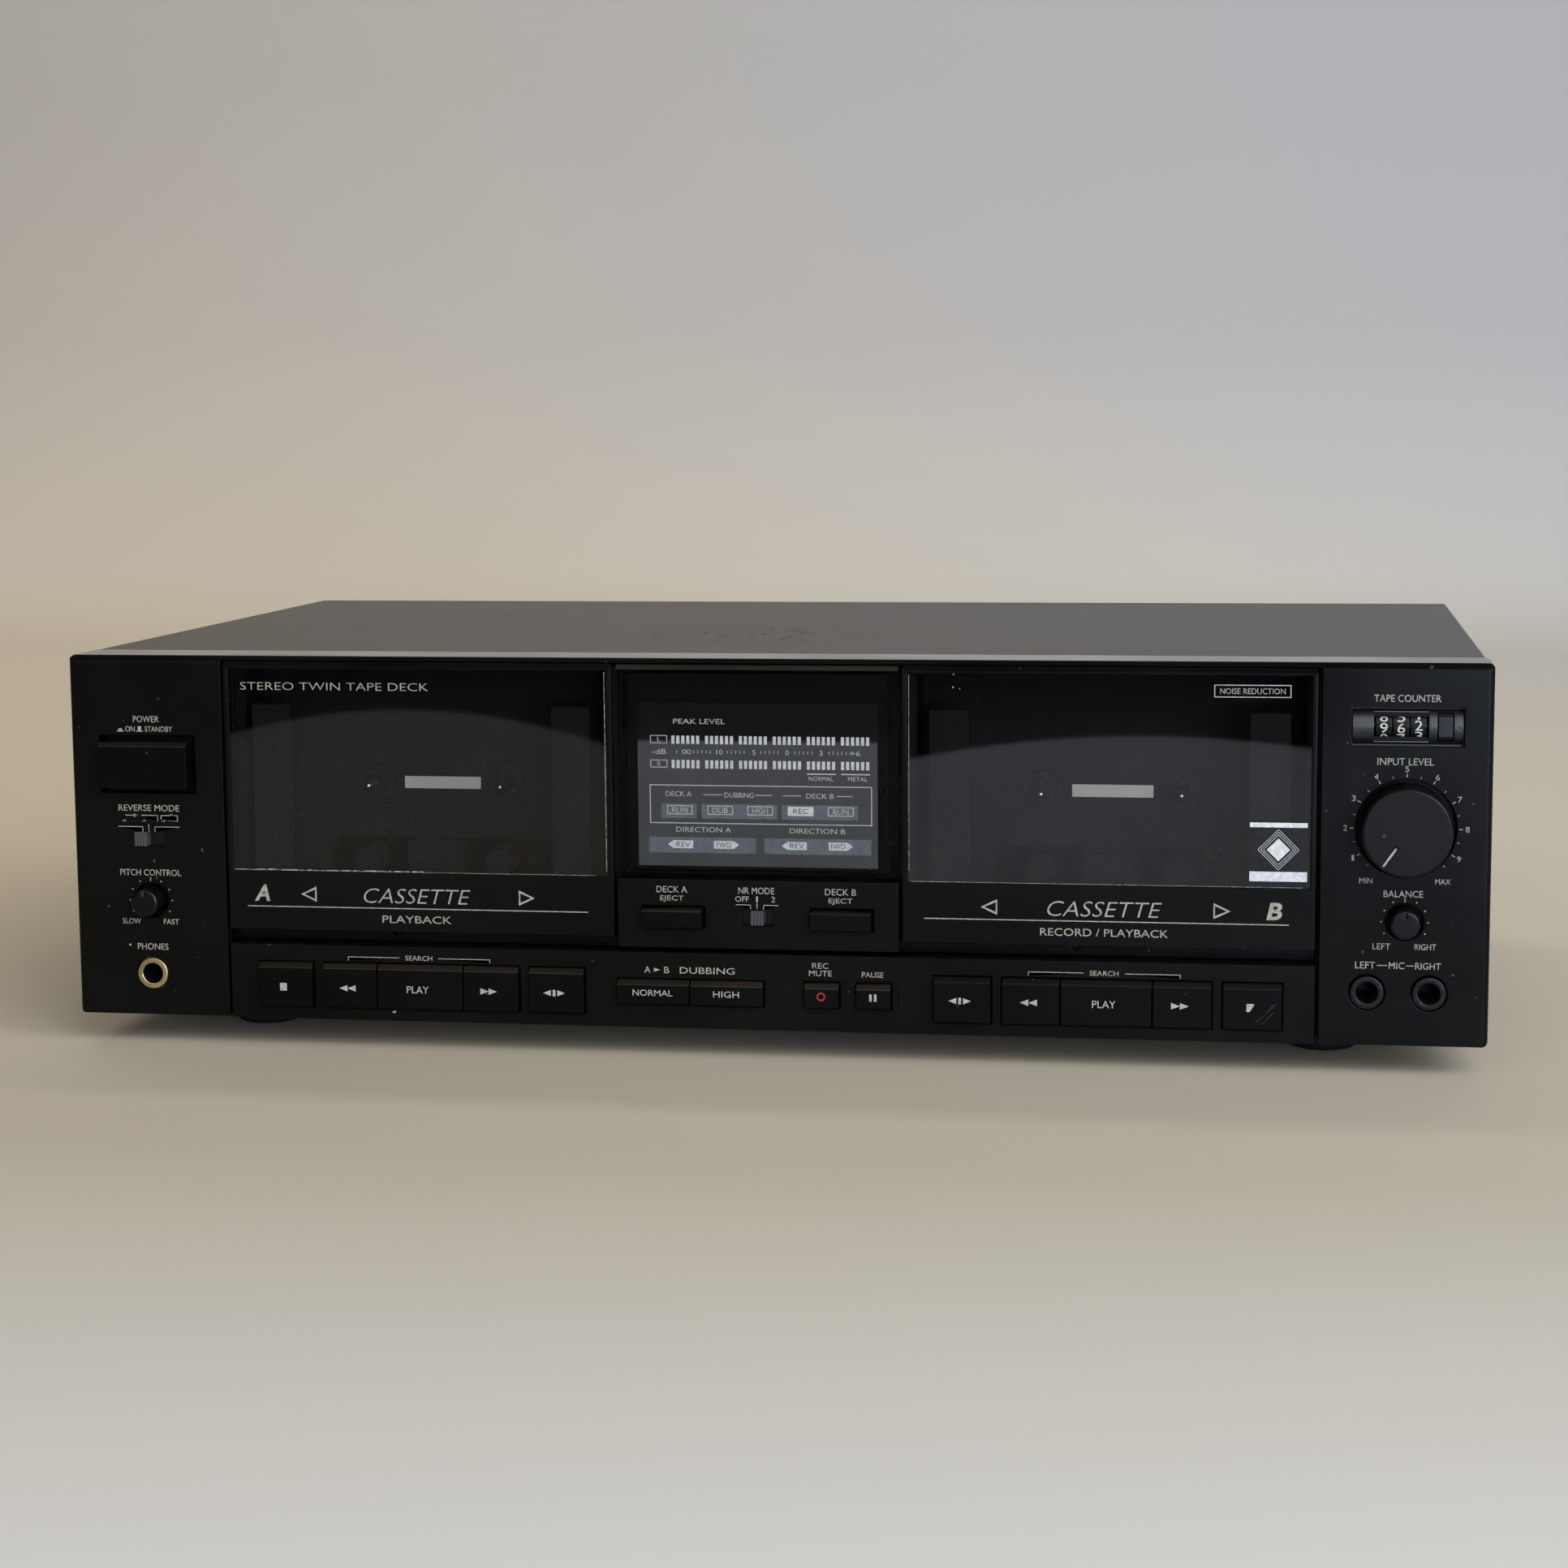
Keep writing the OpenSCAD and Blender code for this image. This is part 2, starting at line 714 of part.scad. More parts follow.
module display_plate() color(print_grey) in_deck() {
  half = centre_half - rim - 2 * plate_margin;
  plate_y = front_back + play_gap;
  low = centre_top + rim + plate_margin;
  high = door_top - rim - plate_margin;
  block([-half, plate_y, low], [half, plate_y + plate_t, high]);
  for (side = [-1, 1], z = [low + post_in, high - post_in])
    rod([side * (half - post_in), z], post_r, plate_y, bay_depth);
}

// Cassette doors. Each is drawn round x = 0 and moved to its side
module at_deck(side) {
  in_deck() translate([side * door_x, 0, 0]) children();
}

module door_frame() color(fascia) difference() {
  bevelled_plate(-door_w / 2, door_w / 2, front_y, door_back, door_z, door_top, edge_bevel);
  block([-window_half, front_y - cut, window_z], [window_half, door_back + cut, window_top]);
}

module door_window() color(smoke) {
  block([-window_half + window_fit, front_y + window_fit, window_z + window_fit],
    [window_half - window_fit, door_back - window_sink, window_top - window_fit]);
}

// Cassette holder: front plate with side flaps, side walls, rear lips and two ledges that carry the cassette
module door_holder() color(well_black) {
  half = pocket_w / 2;
  wall_out = half + holder_t;
  block([-holder_half, door_back, hinge_z - holder_hem],
    [holder_half, door_back + holder_t, window_z - holder_hem]);
  for (side = [-1, 1]) mirror([side < 0 ? 1 : 0, 0, 0]) {
    block([wall_out - flap_w, door_back, cheek_top], [wall_out, door_back + holder_t, holder_top]);
    block([half, door_back, cheek_top], [wall_out, holder_back, holder_top]);
    block([half - lip_w, holder_back - holder_t, lip_z], [wall_out, holder_back, holder_top]);
    block([ledge_in, door_back, cheek_top], [wall_out, holder_back, cheek_top + holder_t]);
    along_x(holder_half - ear_t, holder_half) {
      translate([hinge_y, hinge_z]) circle(ear_r);
      translate([door_back, hinge_z - ear_r]) square([hinge_y - door_back, 2 * ear_r]);
    }
    axle(holder_half - ear_t, cheek_out - play_gap, trunnion_r, [hinge_y, hinge_z]);
  }
}

module door_a_frame() at_deck(-1) door_frame();
module door_a_window() at_deck(-1) door_window();
module door_a_holder() at_deck(-1) door_holder();
module door_b_frame() at_deck(1) door_frame();
module door_b_window() at_deck(1) door_window();
module door_b_holder() at_deck(1) door_holder();

// Tape mechanism: the moulded well behind the bay, with the bearings of the door, the reels and the capstan
module mechanism() color(well_black) difference() {
  union() {
    difference() {
      union() {
        block([-flange_half, backing_back, well_wall_z],
          [flange_half, backing_back + well_plate_t, well_top]);
        block([-well_out, backing_back, well_wall_z], [well_out, well_y + well_plate_t, well_top]);
      }
      block([-well_in, 0, well_floor], [well_in, well_y - plate_step, well_top - well_plate_t]);
    }
    for (side = [-1, 1]) mirror([side < 0 ? 1 : 0, 0, 0]) along_x(cheek_in, cheek_out) {
      translate([hinge_y, hinge_z]) circle(cheek_r);
      translate([hinge_y, hinge_z - cheek_r]) square([backing_back + well_plate_t - hinge_y, 2 * cheek_r]);
    }
  }
  difference() {
    block([-well_in, well_y - plate_step - cut, well_floor], [well_in, well_y, well_top - well_plate_t]);
    along_y(well_y - 2 * cut, well_y + cut)
      round_rect([-label_w / 2, reel_z - label_h / 2], [label_w / 2, reel_z + label_h / 2], label_corner);
  }
  pad([0, reel_z], [slot_w, slot_h], well_y - plate_step - cut, well_y);
  for (side = [-1, 1]) {
    rod([side * reel_spacing / 2, reel_z], reel_hole_r, well_y - cut, well_y + well_plate_t + cut);
    axle(side * cheek_out - 2 * cheek_t, side * cheek_out + 2 * cheek_t, trunnion_r + running,
      [hinge_y, hinge_z]);
  }
  rod([capstan_off, capstan_z], capstan_r + running, well_y - cut, well_y + well_plate_t + cut);
}

module mechanism_a() at_deck(-1) mechanism();
module mechanism_b() at_deck(1) mechanism();

// Reel spindle: a finned hub on a base that runs in the well's plate, with its gear behind the plate
module spindle(at) color(well_black) {
  hub_y = spindle_tip + tip_l;
  rod(at, gear_r, gear_y, gear_y + gear_t);
  rod(at, reel_hole_r - play_gap, reel_base_y, gear_y + cut);
  rod(at, hub_r, hub_y, reel_base_y + cut);
  translate([at.x, hub_y, at.y]) rotate([90, 0, 0]) cylinder(r1 = hub_r, r2 = tip_r, h = tip_l);
  for (turn = [0 : 120 : 240]) translate([at.x, 0, at.y]) rotate([0, turn, 0])
    block([-fin_t / 2, spindle_tip + fin_start, 0], [fin_t / 2, reel_base_y + cut, fin_r]);
}

module spindle_a_left() at_deck(-1) spindle([-reel_spacing / 2, reel_z]);
module spindle_a_right() at_deck(-1) spindle([reel_spacing / 2, reel_z]);
module spindle_b_left() at_deck(1) spindle([-reel_spacing / 2, reel_z]);
module spindle_b_right() at_deck(1) spindle([reel_spacing / 2, reel_z]);

// Head bridge with the head and two pinch rollers, in front of the well's plate
module head_bridge() color(steel) difference() {
  bridge_front = bridge_back - bridge_t;
  slot_r = capstan_r + capstan_gap;
  union() {
    along_y(bridge_front, bridge_back)
      polygon([[-head_half - head_flare, head_z], [head_half + head_flare, head_z], [head_half, head_top],
        [-head_half, head_top]]);
    pad([0, head_mid], head_size, head_front, bridge_back);
    for (side = [-1, 1]) rod([side * roller_off, head_mid], roller_r, head_front, bridge_back);
  }
  for (drop = [0, head_lift])
    rod([capstan_off, capstan_z - drop], slot_r, bridge_front - cut, bridge_back + cut);
  pad([capstan_off, capstan_z - head_lift / 2], [2 * slot_r, head_lift],
    bridge_front - cut, bridge_back + cut);
}

module head_bridge_a() at_deck(-1) head_bridge();
module head_bridge_b() at_deck(1) head_bridge();

// Capstan shaft with its flywheel behind the reel gears
module flywheel() color(steel) {
  at = [capstan_off, capstan_z];
  rod(at, capstan_r, head_front, flywheel_y + flywheel_t);
  difference() {
    rod(at, flywheel_r, flywheel_y, flywheel_y + flywheel_t);
    rod(at, flywheel_r - flywheel_rim, flywheel_y + flywheel_web, flywheel_y + flywheel_t + cut);
  }
}

module flywheel_a() at_deck(-1) flywheel();
module flywheel_b() at_deck(1) flywheel();

// Buttons of the front panel and centre panel
module power_button() color(key_black) in_deck()
  push_cap(-end_x, power_w, power_z - power_h / 2, power_h, -power_proud, power_bevel, panel_wall,
    power_clear_z, power_back);

module eject_button(side) color(key_black) in_deck()
  push_cap(side * eject_x, eject_span, eject_z - eject_h / 2, eject_h, front_y - eject_proud, eject_bevel,
    front_back, eject_clear, eject_back);

module eject_button_a() eject_button(-1);
module eject_button_b() eject_button(1);

// Transport, dubbing and record keys
module key(x, w, z, h) color(key_black) in_deck()
  push_cap(x, w, z + key_clear, h - 2 * key_clear, front_y - key_proud, key_bevel,
    front_back, key_clear, key_back);

module single_key(x) key(x, single_key_w - 2 * key_clear, key_z, key_h);

module side_key(deck, side)
  key(deck * door_x + side * (play_w / 2 + key_split + side_key_w / 2), side_key_w, key_z, key_h);

module dub_key(side)
  key(dub_x + side * (key_split + dub_key_w) / 2, dub_key_w, small_key_z, small_key_h);

module small_key(x) key(x, small_key_span - 2 * key_clear, small_key_z, small_key_h);

module stop_key_a() single_key(stop_x(-1));
module rewind_key_a() side_key(-1, -1);
module play_key_a() key(-door_x, play_w, key_z, key_h);
module forward_key_a() side_key(-1, 1);
module direction_key_a() single_key(direction_x(-1));
module dub_normal_key() dub_key(-1);
module dub_high_key() dub_key(1);
module record_key() small_key(record_x);
module pause_key() small_key(pause_x);
module direction_key_b() single_key(direction_x(1));
module rewind_key_b() side_key(1, -1);
module play_key_b() key(door_x, play_w, key_z, key_h);
module forward_key_b() side_key(1, 1);
module stop_key_b() single_key(stop_x(1));

// Slide switches: a ridged knob on a plate that covers the slot from behind
module slide_switch(at, slot_w, step, wall_front, wall_back) color(key_black) in_deck() difference() {
  knob_w = slot_w - 2 * step - 2 * play_gap;
  knob_h = slide_slot_h - 2 * play_gap;
  front = wall_front - slide_proud;
  plate_y = wall_back + play_gap;
  union() {
    pad(at, [knob_w, knob_h], front, plate_y + cut);
    pad(at, [slot_w + 2 * (step + slide_lap), slide_slot_h + 2 * slide_lap_z], plate_y,
      plate_y + slide_plate_t);
  }
  for (rib = [-1 : 1])
    pad([at.x + rib * knob_w / 4, at.y], [slide_rib, knob_h + cut], front - cut, front + slide_rib);
}

module reverse_switch()
  slide_switch(reverse_at() - [slide_step, 0], slide_slot_w, slide_step, 0, panel_wall);
module noise_switch()
  slide_switch([0, noise_z], noise_slot_w, noise_step, front_y, front_back);

// Knobs
module pointed_knob(at, r, proud, turn, from, to) difference() {
  knob(at, r, proud, recess_depth - play_gap, recess_depth + shell_wall + pot_l - 2);
  translate([at.x, 0, at.y]) rotate([0, turn, 0])
    block([-pointer_w / 2, -proud - cut, from], [pointer_w / 2, -proud + pointer_depth, to]);
}

module pitch_knob() color(key_black) in_deck()
  pointed_knob(pitch_at(), small_knob_r, small_knob_proud, 0, small_knob_r / 2, small_knob_r + cut);
module level_knob() color(key_black) in_deck()
  pointed_knob(level_at(), level_r, level_proud, -level_turn_deg, level_r * 0.4, level_r - 1);
module balance_knob() color(key_black) in_deck()
  pointed_knob(balance_at(), small_knob_r, small_knob_proud, 0, small_knob_r / 2, small_knob_r + cut);

module potentiometers() color(zinc) in_deck()
  for (at = [pitch_at(), level_at(), balance_at()]) difference() {
    pot_y = recess_depth + shell_wall;
    rod(at, pot_r, pot_y, pot_y + pot_l);
    rod(at, pot_shaft_r + running, pot_y - cut, pot_y + pot_l - 1);
  }

// Tape counter: three number wheels on one shaft, behind a window in a rounded housing
module counter_housing() color(key_black) in_deck() difference() {
  axis = [counter_axis_y, counter_z];
  half_w = counter_w / 2 - play_gap;
  half_h = counter_h / 2 - play_gap;
  body_half_h = wheel_r + counter_wall;
  union() {
    intersection() {
      axle(end_x - half_w, end_x + half_w, counter_shell_r, axis);
      pad([end_x, counter_z], [2 * half_w, 2 * half_h], -cut, counter_axis_y);
    }
    block([end_x - half_w - counter_wall, panel_wall, counter_z - body_half_h],
      [end_x + half_w + counter_wall, counter_axis_y + body_half_h, counter_z + body_half_h]);
  }
  difference() {
    axle(wheels_x - wheels_w / 2, wheels_x + wheels_w / 2, wheel_r + wheel_gap, axis);
    axle(wheels_x - wheels_w, wheels_x + wheels_w, wheel_shaft_r, axis);
  }
  pad([wheels_x, counter_z], [wheels_w, 2 * half_h - counter_wall], -cut, counter_axis_y - counter_wall);
  pad([reset_x, counter_z], [reset_w, reset_h] + [2, 2] * play_gap, -cut,
    reset_back + reset_travel + play_gap);
}

module counter_wheel(place) color(key_black) in_deck() difference() {
  x = wheels_x + place * wheel_pitch;
  half = (wheel_pitch - wheel_gap) / 2;
  axle(x - half, x + half, wheel_r, [counter_axis_y, counter_z]);
  axle(x - half - cut, x + half + cut, wheel_shaft_r + running, [counter_axis_y, counter_z]);
}

module counter_units() counter_wheel(1);
module counter_tens() counter_wheel(0);
module counter_hundreds() counter_wheel(-1);

module counter_reset() color(key_black) in_deck()
  along_x(reset_x - reset_w / 2, reset_x + reset_w / 2)
    translate([0, counter_z])
      polygon([[reset_front, reset_bevel - reset_h / 2], [reset_front + reset_bevel, -reset_h / 2],
        [reset_back, -reset_h / 2], [reset_back, reset_h / 2], [reset_front + reset_bevel, reset_h / 2],
        [reset_front, reset_h / 2 - reset_bevel]]);

// Sockets: a threaded bush in the panel's hole, on a body behind the panel
module jack(at) difference() {
  front = -jack_proud;
  union() {
    rod(at, jack_ring_r, front, panel_wall + cut);
    pad(at, [jack_body_w, jack_body_w], panel_wall, front + jack_bore_l + jack_body_back);
  }
  rod(at, jack_bore_r, front - cut, front + jack_bore_l);
}

module front_jacks() in_deck() {
  color(gold) jack(phones_at());
  color(steel) for (side = [-1, 1]) jack(mic_at(side));
}

module rear_jacks() color(key_black) in_deck() difference() {
  union() {
    pad([phono_x, phono_z], [1, 1] * (2 * phono_pitch + phono_r), rear_face, rear_face + phono_plate_t);
    for (col = [0, 1], row = [0, 1]) rod(phono_at(col, row), phono_r, rear_y - phono_tail, rear_end);
  }
  for (col = [0, 1], row = [0, 1]) rod(phono_at(col, row), phono_bore_r, rear_face, rear_end + cut);
}

module cord_gland() color(rubber) in_deck() difference() {
  at = [gland_x, gland_z];
  union() {
    rod(at, gland_bore_r + gland_wall, rear_y - gland_l, rear_face + gland_l);
    rod(at, gland_bore_r + gland_flange, rear_face, rear_face + gland_l);
  }
  rod(at, gland_bore_r, rear_y - gland_l - cut, rear_face + gland_l + cut);
}

// Electrics on the base tray
module main_board() color(board_green) in_deck() {
  can_pitch = [board_size.x / can_cols, board_size.y / can_rows];
  sink_pitch = board_size.x / sink_count;
  translate([board_lo.x - board_edge, board_lo.y - board_edge, board_z])
    cube([board_size.x + 2 * board_edge, board_size.y + 2 * board_edge, board_t]);
  for (row = [0 : can_rows - 1], col = [0 : can_cols - 1])
    translate([board_lo.x + (col + 0.5) * can_pitch.x, board_lo.y + (row + 0.5) * can_pitch.y, board_z])
      cylinder(r = can_r * (1 + row % 2 / 2), h = can_h + col % 3 * can_step);
  for (col = [0 : sink_count - 1])
    translate([board_lo.x + (col + 0.5) * sink_pitch, board_lo.y + board_size.y / 3, board_z])
      cube(sink_size);
}

module transformer() color(copper) in_deck() {
  at = [transformer_in.x - base_half, rear_y - transformer_in.y, base_z + sheet_t];
  translate(at - [core_size.x / 2, core_size.y / 2, 0]) cube(core_size);
  translate(at - [coil_size.x / 2, coil_size.y / 2, (coil_size.z - core_size.z) / 2]) cube(coil_size);
}

front_panel();
bay_frame();
centre_panel();
control_strip();
top_cover();
chassis_base();
rear_panel();
feet();
cover_screws();
display_window();
display_plate();
door_a_frame();
door_a_window();
door_a_holder();
door_b_frame();
door_b_window();
door_b_holder();
mechanism_a();
mechanism_b();
spindle_a_left();
spindle_a_right();
spindle_b_left();
spindle_b_right();
head_bridge_a();
head_bridge_b();
flywheel_a();
flywheel_b();
power_button();
reverse_switch();
noise_switch();
pitch_knob();
level_knob();
balance_knob();
potentiometers();
eject_button_a();
eject_button_b();
stop_key_a();
rewind_key_a();
play_key_a();
forward_key_a();
direction_key_a();
dub_normal_key();
dub_high_key();
record_key();
pause_key();
direction_key_b();
rewind_key_b();
play_key_b();
forward_key_b();
stop_key_b();
counter_housing();
counter_units();
counter_tens();
counter_hundreds();
counter_reset();
front_jacks();
rear_jacks();
cord_gland();
main_board();
transformer();
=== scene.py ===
import json
import math
import random

import bpy
from mathutils import Matrix, Vector


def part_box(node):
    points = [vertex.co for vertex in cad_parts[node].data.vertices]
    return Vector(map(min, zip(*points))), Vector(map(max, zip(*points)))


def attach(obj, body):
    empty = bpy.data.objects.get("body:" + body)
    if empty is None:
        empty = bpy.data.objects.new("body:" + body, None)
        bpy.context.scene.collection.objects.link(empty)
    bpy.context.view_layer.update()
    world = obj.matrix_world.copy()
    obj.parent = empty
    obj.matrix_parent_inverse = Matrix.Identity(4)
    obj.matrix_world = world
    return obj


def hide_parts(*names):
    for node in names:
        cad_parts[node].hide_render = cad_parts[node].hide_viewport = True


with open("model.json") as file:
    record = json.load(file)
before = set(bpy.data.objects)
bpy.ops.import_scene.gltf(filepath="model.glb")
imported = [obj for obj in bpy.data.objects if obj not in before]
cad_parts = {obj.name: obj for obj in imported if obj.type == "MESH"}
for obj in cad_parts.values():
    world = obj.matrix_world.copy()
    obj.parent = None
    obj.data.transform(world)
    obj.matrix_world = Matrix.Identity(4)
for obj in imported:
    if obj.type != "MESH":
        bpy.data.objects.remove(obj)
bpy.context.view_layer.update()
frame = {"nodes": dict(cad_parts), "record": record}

nodes = frame["nodes"]
bodies = frame["record"]["behaviour"]["bodies"]
body_of = {node: body for body, members in bodies.items() for node in members}

# The front panel gives every place: millimetres from the middle of its bottom edge, back from its face, up
MM = 0.001
panel_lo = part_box("front_panel")[0]
panel_corner = Vector((0, panel_lo.y, panel_lo.z))


def place(x, y, z):
    """A point of the panel's own frame, in millimetres, as a point of the part's frame in metres."""
    return Vector((x * MM, panel_lo.y + y * MM, panel_lo.z + z * MM))


def span(node):
    """Lowest and highest corner of a CAD piece in the panel's own frame, in millimetres."""
    lo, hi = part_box(node)
    return (lo - panel_corner) / MM, (hi - panel_corner) / MM


def middle(node):
    """Middle of a CAD piece as it is seen from the front: across and up, in millimetres."""
    lo, hi = span(node)
    return (lo.x + hi.x) / 2, (lo.z + hi.z) / 2


def new_object(name, data):
    """A new object in the scene."""
    piece = bpy.data.objects.new(name, data)
    bpy.context.scene.collection.objects.link(piece)
    return piece


def pick(*pieces):
    """Selects these pieces and nothing else."""
    bpy.ops.object.select_all(action="DESELECT")
    for piece in pieces:
        piece.select_set(True)
    bpy.context.view_layer.objects.active = pieces[0]


# Camera, matched to the photograph: its place in the panel's frame, its angles and its lens
camera_place = (155.7, -911.5, 192.2)
camera_yaw = math.radians(-9.177)
camera_pitch = math.radians(-7.194)
camera_roll = math.radians(-0.436)
camera_lens = 70.81
camera_sensor = 36

camera_data = bpy.data.cameras.new("camera")
camera_data.lens = camera_lens
camera_data.sensor_width = camera_sensor
camera = new_object("camera", camera_data)
camera.matrix_world = (
    Matrix.Translation(place(*camera_place))
    @ Matrix.Rotation(-camera_yaw, 4, "Z")
    @ Matrix.Rotation(math.pi / 2 + camera_pitch, 4, "X")
    @ Matrix.Rotation(camera_roll, 4, "Z")
)
bpy.context.scene.camera = camera
bpy.context.scene.view_settings.view_transform = "Standard"


# Shader nodes
def linear(hex_colour):
    """An sRGB hex colour as linear red, green, blue and full alpha."""
    parts = [int(hex_colour[i:i + 2], 16) / 255 for i in (1, 3, 5)]
    return [c / 12.92 if c <= 0.04045 else ((c + 0.055) / 1.055) ** 2.4 for c in parts] + [1]


def feed(tree, node, inputs):
    """Sets or links the inputs of a shader node, by name or number."""
    for name, value in inputs.items():
        if isinstance(value, bpy.types.NodeSocket):
            tree.links.new(value, node.inputs[name])
        else:
            node.inputs[name].default_value = value


def add(tree, kind, inputs=None, **settings):
    """Adds one shader node with its settings and its inputs."""
    node = tree.nodes.new("ShaderNode" + kind)
    for name, value in settings.items():
        setattr(node, name, value)
    feed(tree, node, inputs or {})
    return node


def maths(tree, operation, *values):
    """One step of arithmetic on shader values."""
    return add(tree, "Math", dict(enumerate(values)), operation=operation).outputs[0]


def spread(tree, value, low, high, to_low=0, to_high=1, **settings):
    """A value that runs from low to high, made to run over another range and kept inside it."""
    return add(tree, "MapRange", dict(enumerate((value, low, high, to_low, to_high))), **settings).outputs[0]


def noise(tree, where, size_mm, detail):
    """A noise texture whose features are size_mm across."""
    inputs = {"Vector": where, "Scale": 1 / (size_mm * MM), "Detail": detail}
    return add(tree, "TexNoise", inputs).outputs["Fac"]


def drawn_out(tree, where, scale, turn=0):
    """Coordinates stretched by a scale and turned, so that a noise on them runs in lines."""
    return add(tree, "Mapping", {"Vector": where, "Scale": scale, "Rotation": (0, 0, turn)}).outputs[0]


def mixed(tree, amount, first, second, **settings):
    """Two colours mixed by an amount, each a hex colour or a shader value."""
    first, second = (linear(colour) if isinstance(colour, str) else colour for colour in (first, second))
    return add(tree, "Mix", {0: amount, 6: first, 7: second}, data_type="RGBA", **settings).outputs[2]


def bumped(tree, height, strength, depth_mm):
    """A normal that follows a height."""
    return add(tree, "Bump", {"Height": height, "Strength": strength, "Distance": depth_mm * MM}).outputs[0]


def ramp(tree, factor, *stops):
    """A colour ramp with stops of (position, hex colour)."""
    node = add(tree, "ValToRGB", {"Fac": factor})
    marks = node.color_ramp.elements
    while len(marks) < len(stops):
        marks.new(1)
    for mark, (position, colour) in zip(marks, stops):
        mark.position = position
        mark.color = linear(colour)
    return node.outputs["Color"]


def new_material(name):
    """An empty node material: its tree, its shader and its Object coordinates."""
    material = bpy.data.materials.new(name)
    material.use_nodes = True
    tree = material.node_tree
    shader = tree.nodes["Principled BSDF"]
    where = add(tree, "TexCoord").outputs["Object"]
    return material, tree, shader, where


# Stage: a pale sheet that ends in front of the deck and curves up behind it
sheet_front = 900
sheet_half = 3600
sheet_back = 1500
sheet_bend_r = 500
sheet_top = 2400


def stage_sheet():
    """The sheet's profile, pulled sideways to its width."""
    floor = panel_lo.z / MM
    profile = [(-sheet_front, -floor)]
    for turn in range(0, 91, 6):
        across, up = math.sin(math.radians(turn)), 1 - math.cos(math.radians(turn))
        profile.append((sheet_back + sheet_bend_r * across, sheet_bend_r * up - floor))
    profile += [(sheet_back + sheet_bend_r, sheet_top)]
    mesh = bpy.data.meshes.new("stage_sheet")
    mesh.from_pydata([place(-sheet_half, y, z) for y, z in profile],
                     [(i, i + 1) for i in range(len(profile) - 1)], [])
    sheet = new_object("stage_sheet", mesh)
    pick(sheet)
    bpy.ops.object.mode_set(mode="EDIT")
    bpy.ops.mesh.select_all(action="SELECT")
    bpy.ops.mesh.extrude_region_move(TRANSFORM_OT_translate={"value": (2 * sheet_half * MM, 0, 0)})
    bpy.ops.mesh.select_all(action="SELECT")
    bpy.ops.mesh.normals_make_consistent(inside=False)
    bpy.ops.object.mode_set(mode="OBJECT")
    bpy.ops.object.shade_smooth_by_angle(angle=math.radians(40))
    return sheet


# The paper's painted light: its tones by depth and height together, and its tint across, in metres
light_tone_start = -0.8
light_tone_end = (sheet_back + sheet_bend_r + 500) * MM
paper_light_tones = [(light_tone_start, "#eaedf0"), (-0.25, "#cac1ae"), (0.3, "#e3d8c2"),
               (1.63, "#e2dfd8"), (2.07, "#c8c8c8"), (light_tone_end, "#bfc1c4")]
cool_light_x, warm_light_x = 0.7, -0.9


def paper():
    """Matt seamless paper, faintly mottled.

    Its tones are painted light: greyer near the camera and high up, and warmer round the deck and on the
    left.
    """
    material, tree, shader, where = new_material("seamless_paper_matt_painted_light")
    at = add(tree, "SeparateXYZ", {0: where}).outputs
    along = spread(tree, maths(tree, "ADD", at["Y"], at["Z"]), light_tone_start, light_tone_end)
    stops = [((metres - light_tone_start) / (light_tone_end - light_tone_start), colour) for metres, colour in paper_light_tones]
    tone = ramp(tree, along, *stops)
    left = spread(tree, at["X"], cool_light_x, warm_light_x)
    mottle = noise(tree, where, 180, 3)
    amount = add(tree, "Mix", {0: 0.15, 2: left, 3: mottle}, data_type="FLOAT").outputs[0]
    tint = ramp(tree, amount, (0, "#eef3fa"), (1, "#fff7e8"))
    both = mixed(tree, 1, tone, tint, blend_type="MULTIPLY")
    feed(tree, shader, {"Base Color": both, "Roughness": 0.85, "Specular IOR Level": 0.2})
    return material


stage = stage_sheet()
stage.data.materials.append(paper())


# Light: two wide panels in front, a smaller one at the right, a wash on the paper and a low, cool window
def softbox(name, at, aim, size, watts, colour):
    """A rectangular area lamp at one point, aimed at another, in the panel's millimetres."""
    lamp = bpy.data.lights.new(name, "AREA")
    lamp.shape = "RECTANGLE"
    lamp.size, lamp.size_y = (side * MM for side in size)
    lamp.energy = watts
    lamp.color = linear(colour)[:3]
    holder = new_object(name, lamp)
    holder.location = place(*at)
    holder.rotation_euler = (place(*aim) - place(*at)).to_track_quat("-Z", "Y").to_euler()


softbox("front_wide", (1500, -1300, 1100), (200, 0, 0), (2400, 1900), 44, "#fafbff")
softbox("front_low", (0, -1700, 1000), (0, -100, 0), (3000, 1300), 20, "#fdfdff")
softbox("front_right", (1700, -900, 1000), (250, 0, 20), (800, 800), 7, "#dfebff")
softbox("wall_wash", (-400, 1000, 1900), (-400, 2000, 250), (2600, 500), 16.5, "#fff6ea")
softbox("window_light", (957, -2200, 140), (200, 0, 20), (1100, 260), 28, "#c8ddff")


def room_light():
    """Even light from above and behind, fading to a dark room in front of the deck."""
    world = bpy.data.worlds.new("room")
    bpy.context.scene.world = world
    world.use_nodes = True
    tree = world.node_tree
    sky = add(tree, "SeparateXYZ", {0: add(tree, "TexCoord").outputs["Generated"]}).outputs
    high = spread(tree, sky["Z"], 0.25, 0.85)
    behind = spread(tree, sky["Y"], -0.4, 0.3)
    shade = ramp(tree, maths(tree, "MULTIPLY", high, behind), (0, "#040404"), (1, "#b4b1aa"))
    feed(tree, tree.nodes["Background"], {"Color": shade, "Strength": 0.35})


room_light()


# Materials. Grain finer than half a millimetre is drawn at about one, so that it still shows in a picture
coat_rough = 0.14
rub_middle = (-18, 92, 113)
rub_reach, rub_full = 55, 15
# Soft top edge of the windows' painted reflection, in millimetres
reflection_fade = 0.9
# Heights of the soft edge of the display's painted reflection, in millimetres
display_reflection_edge = (87.4, 88.9)


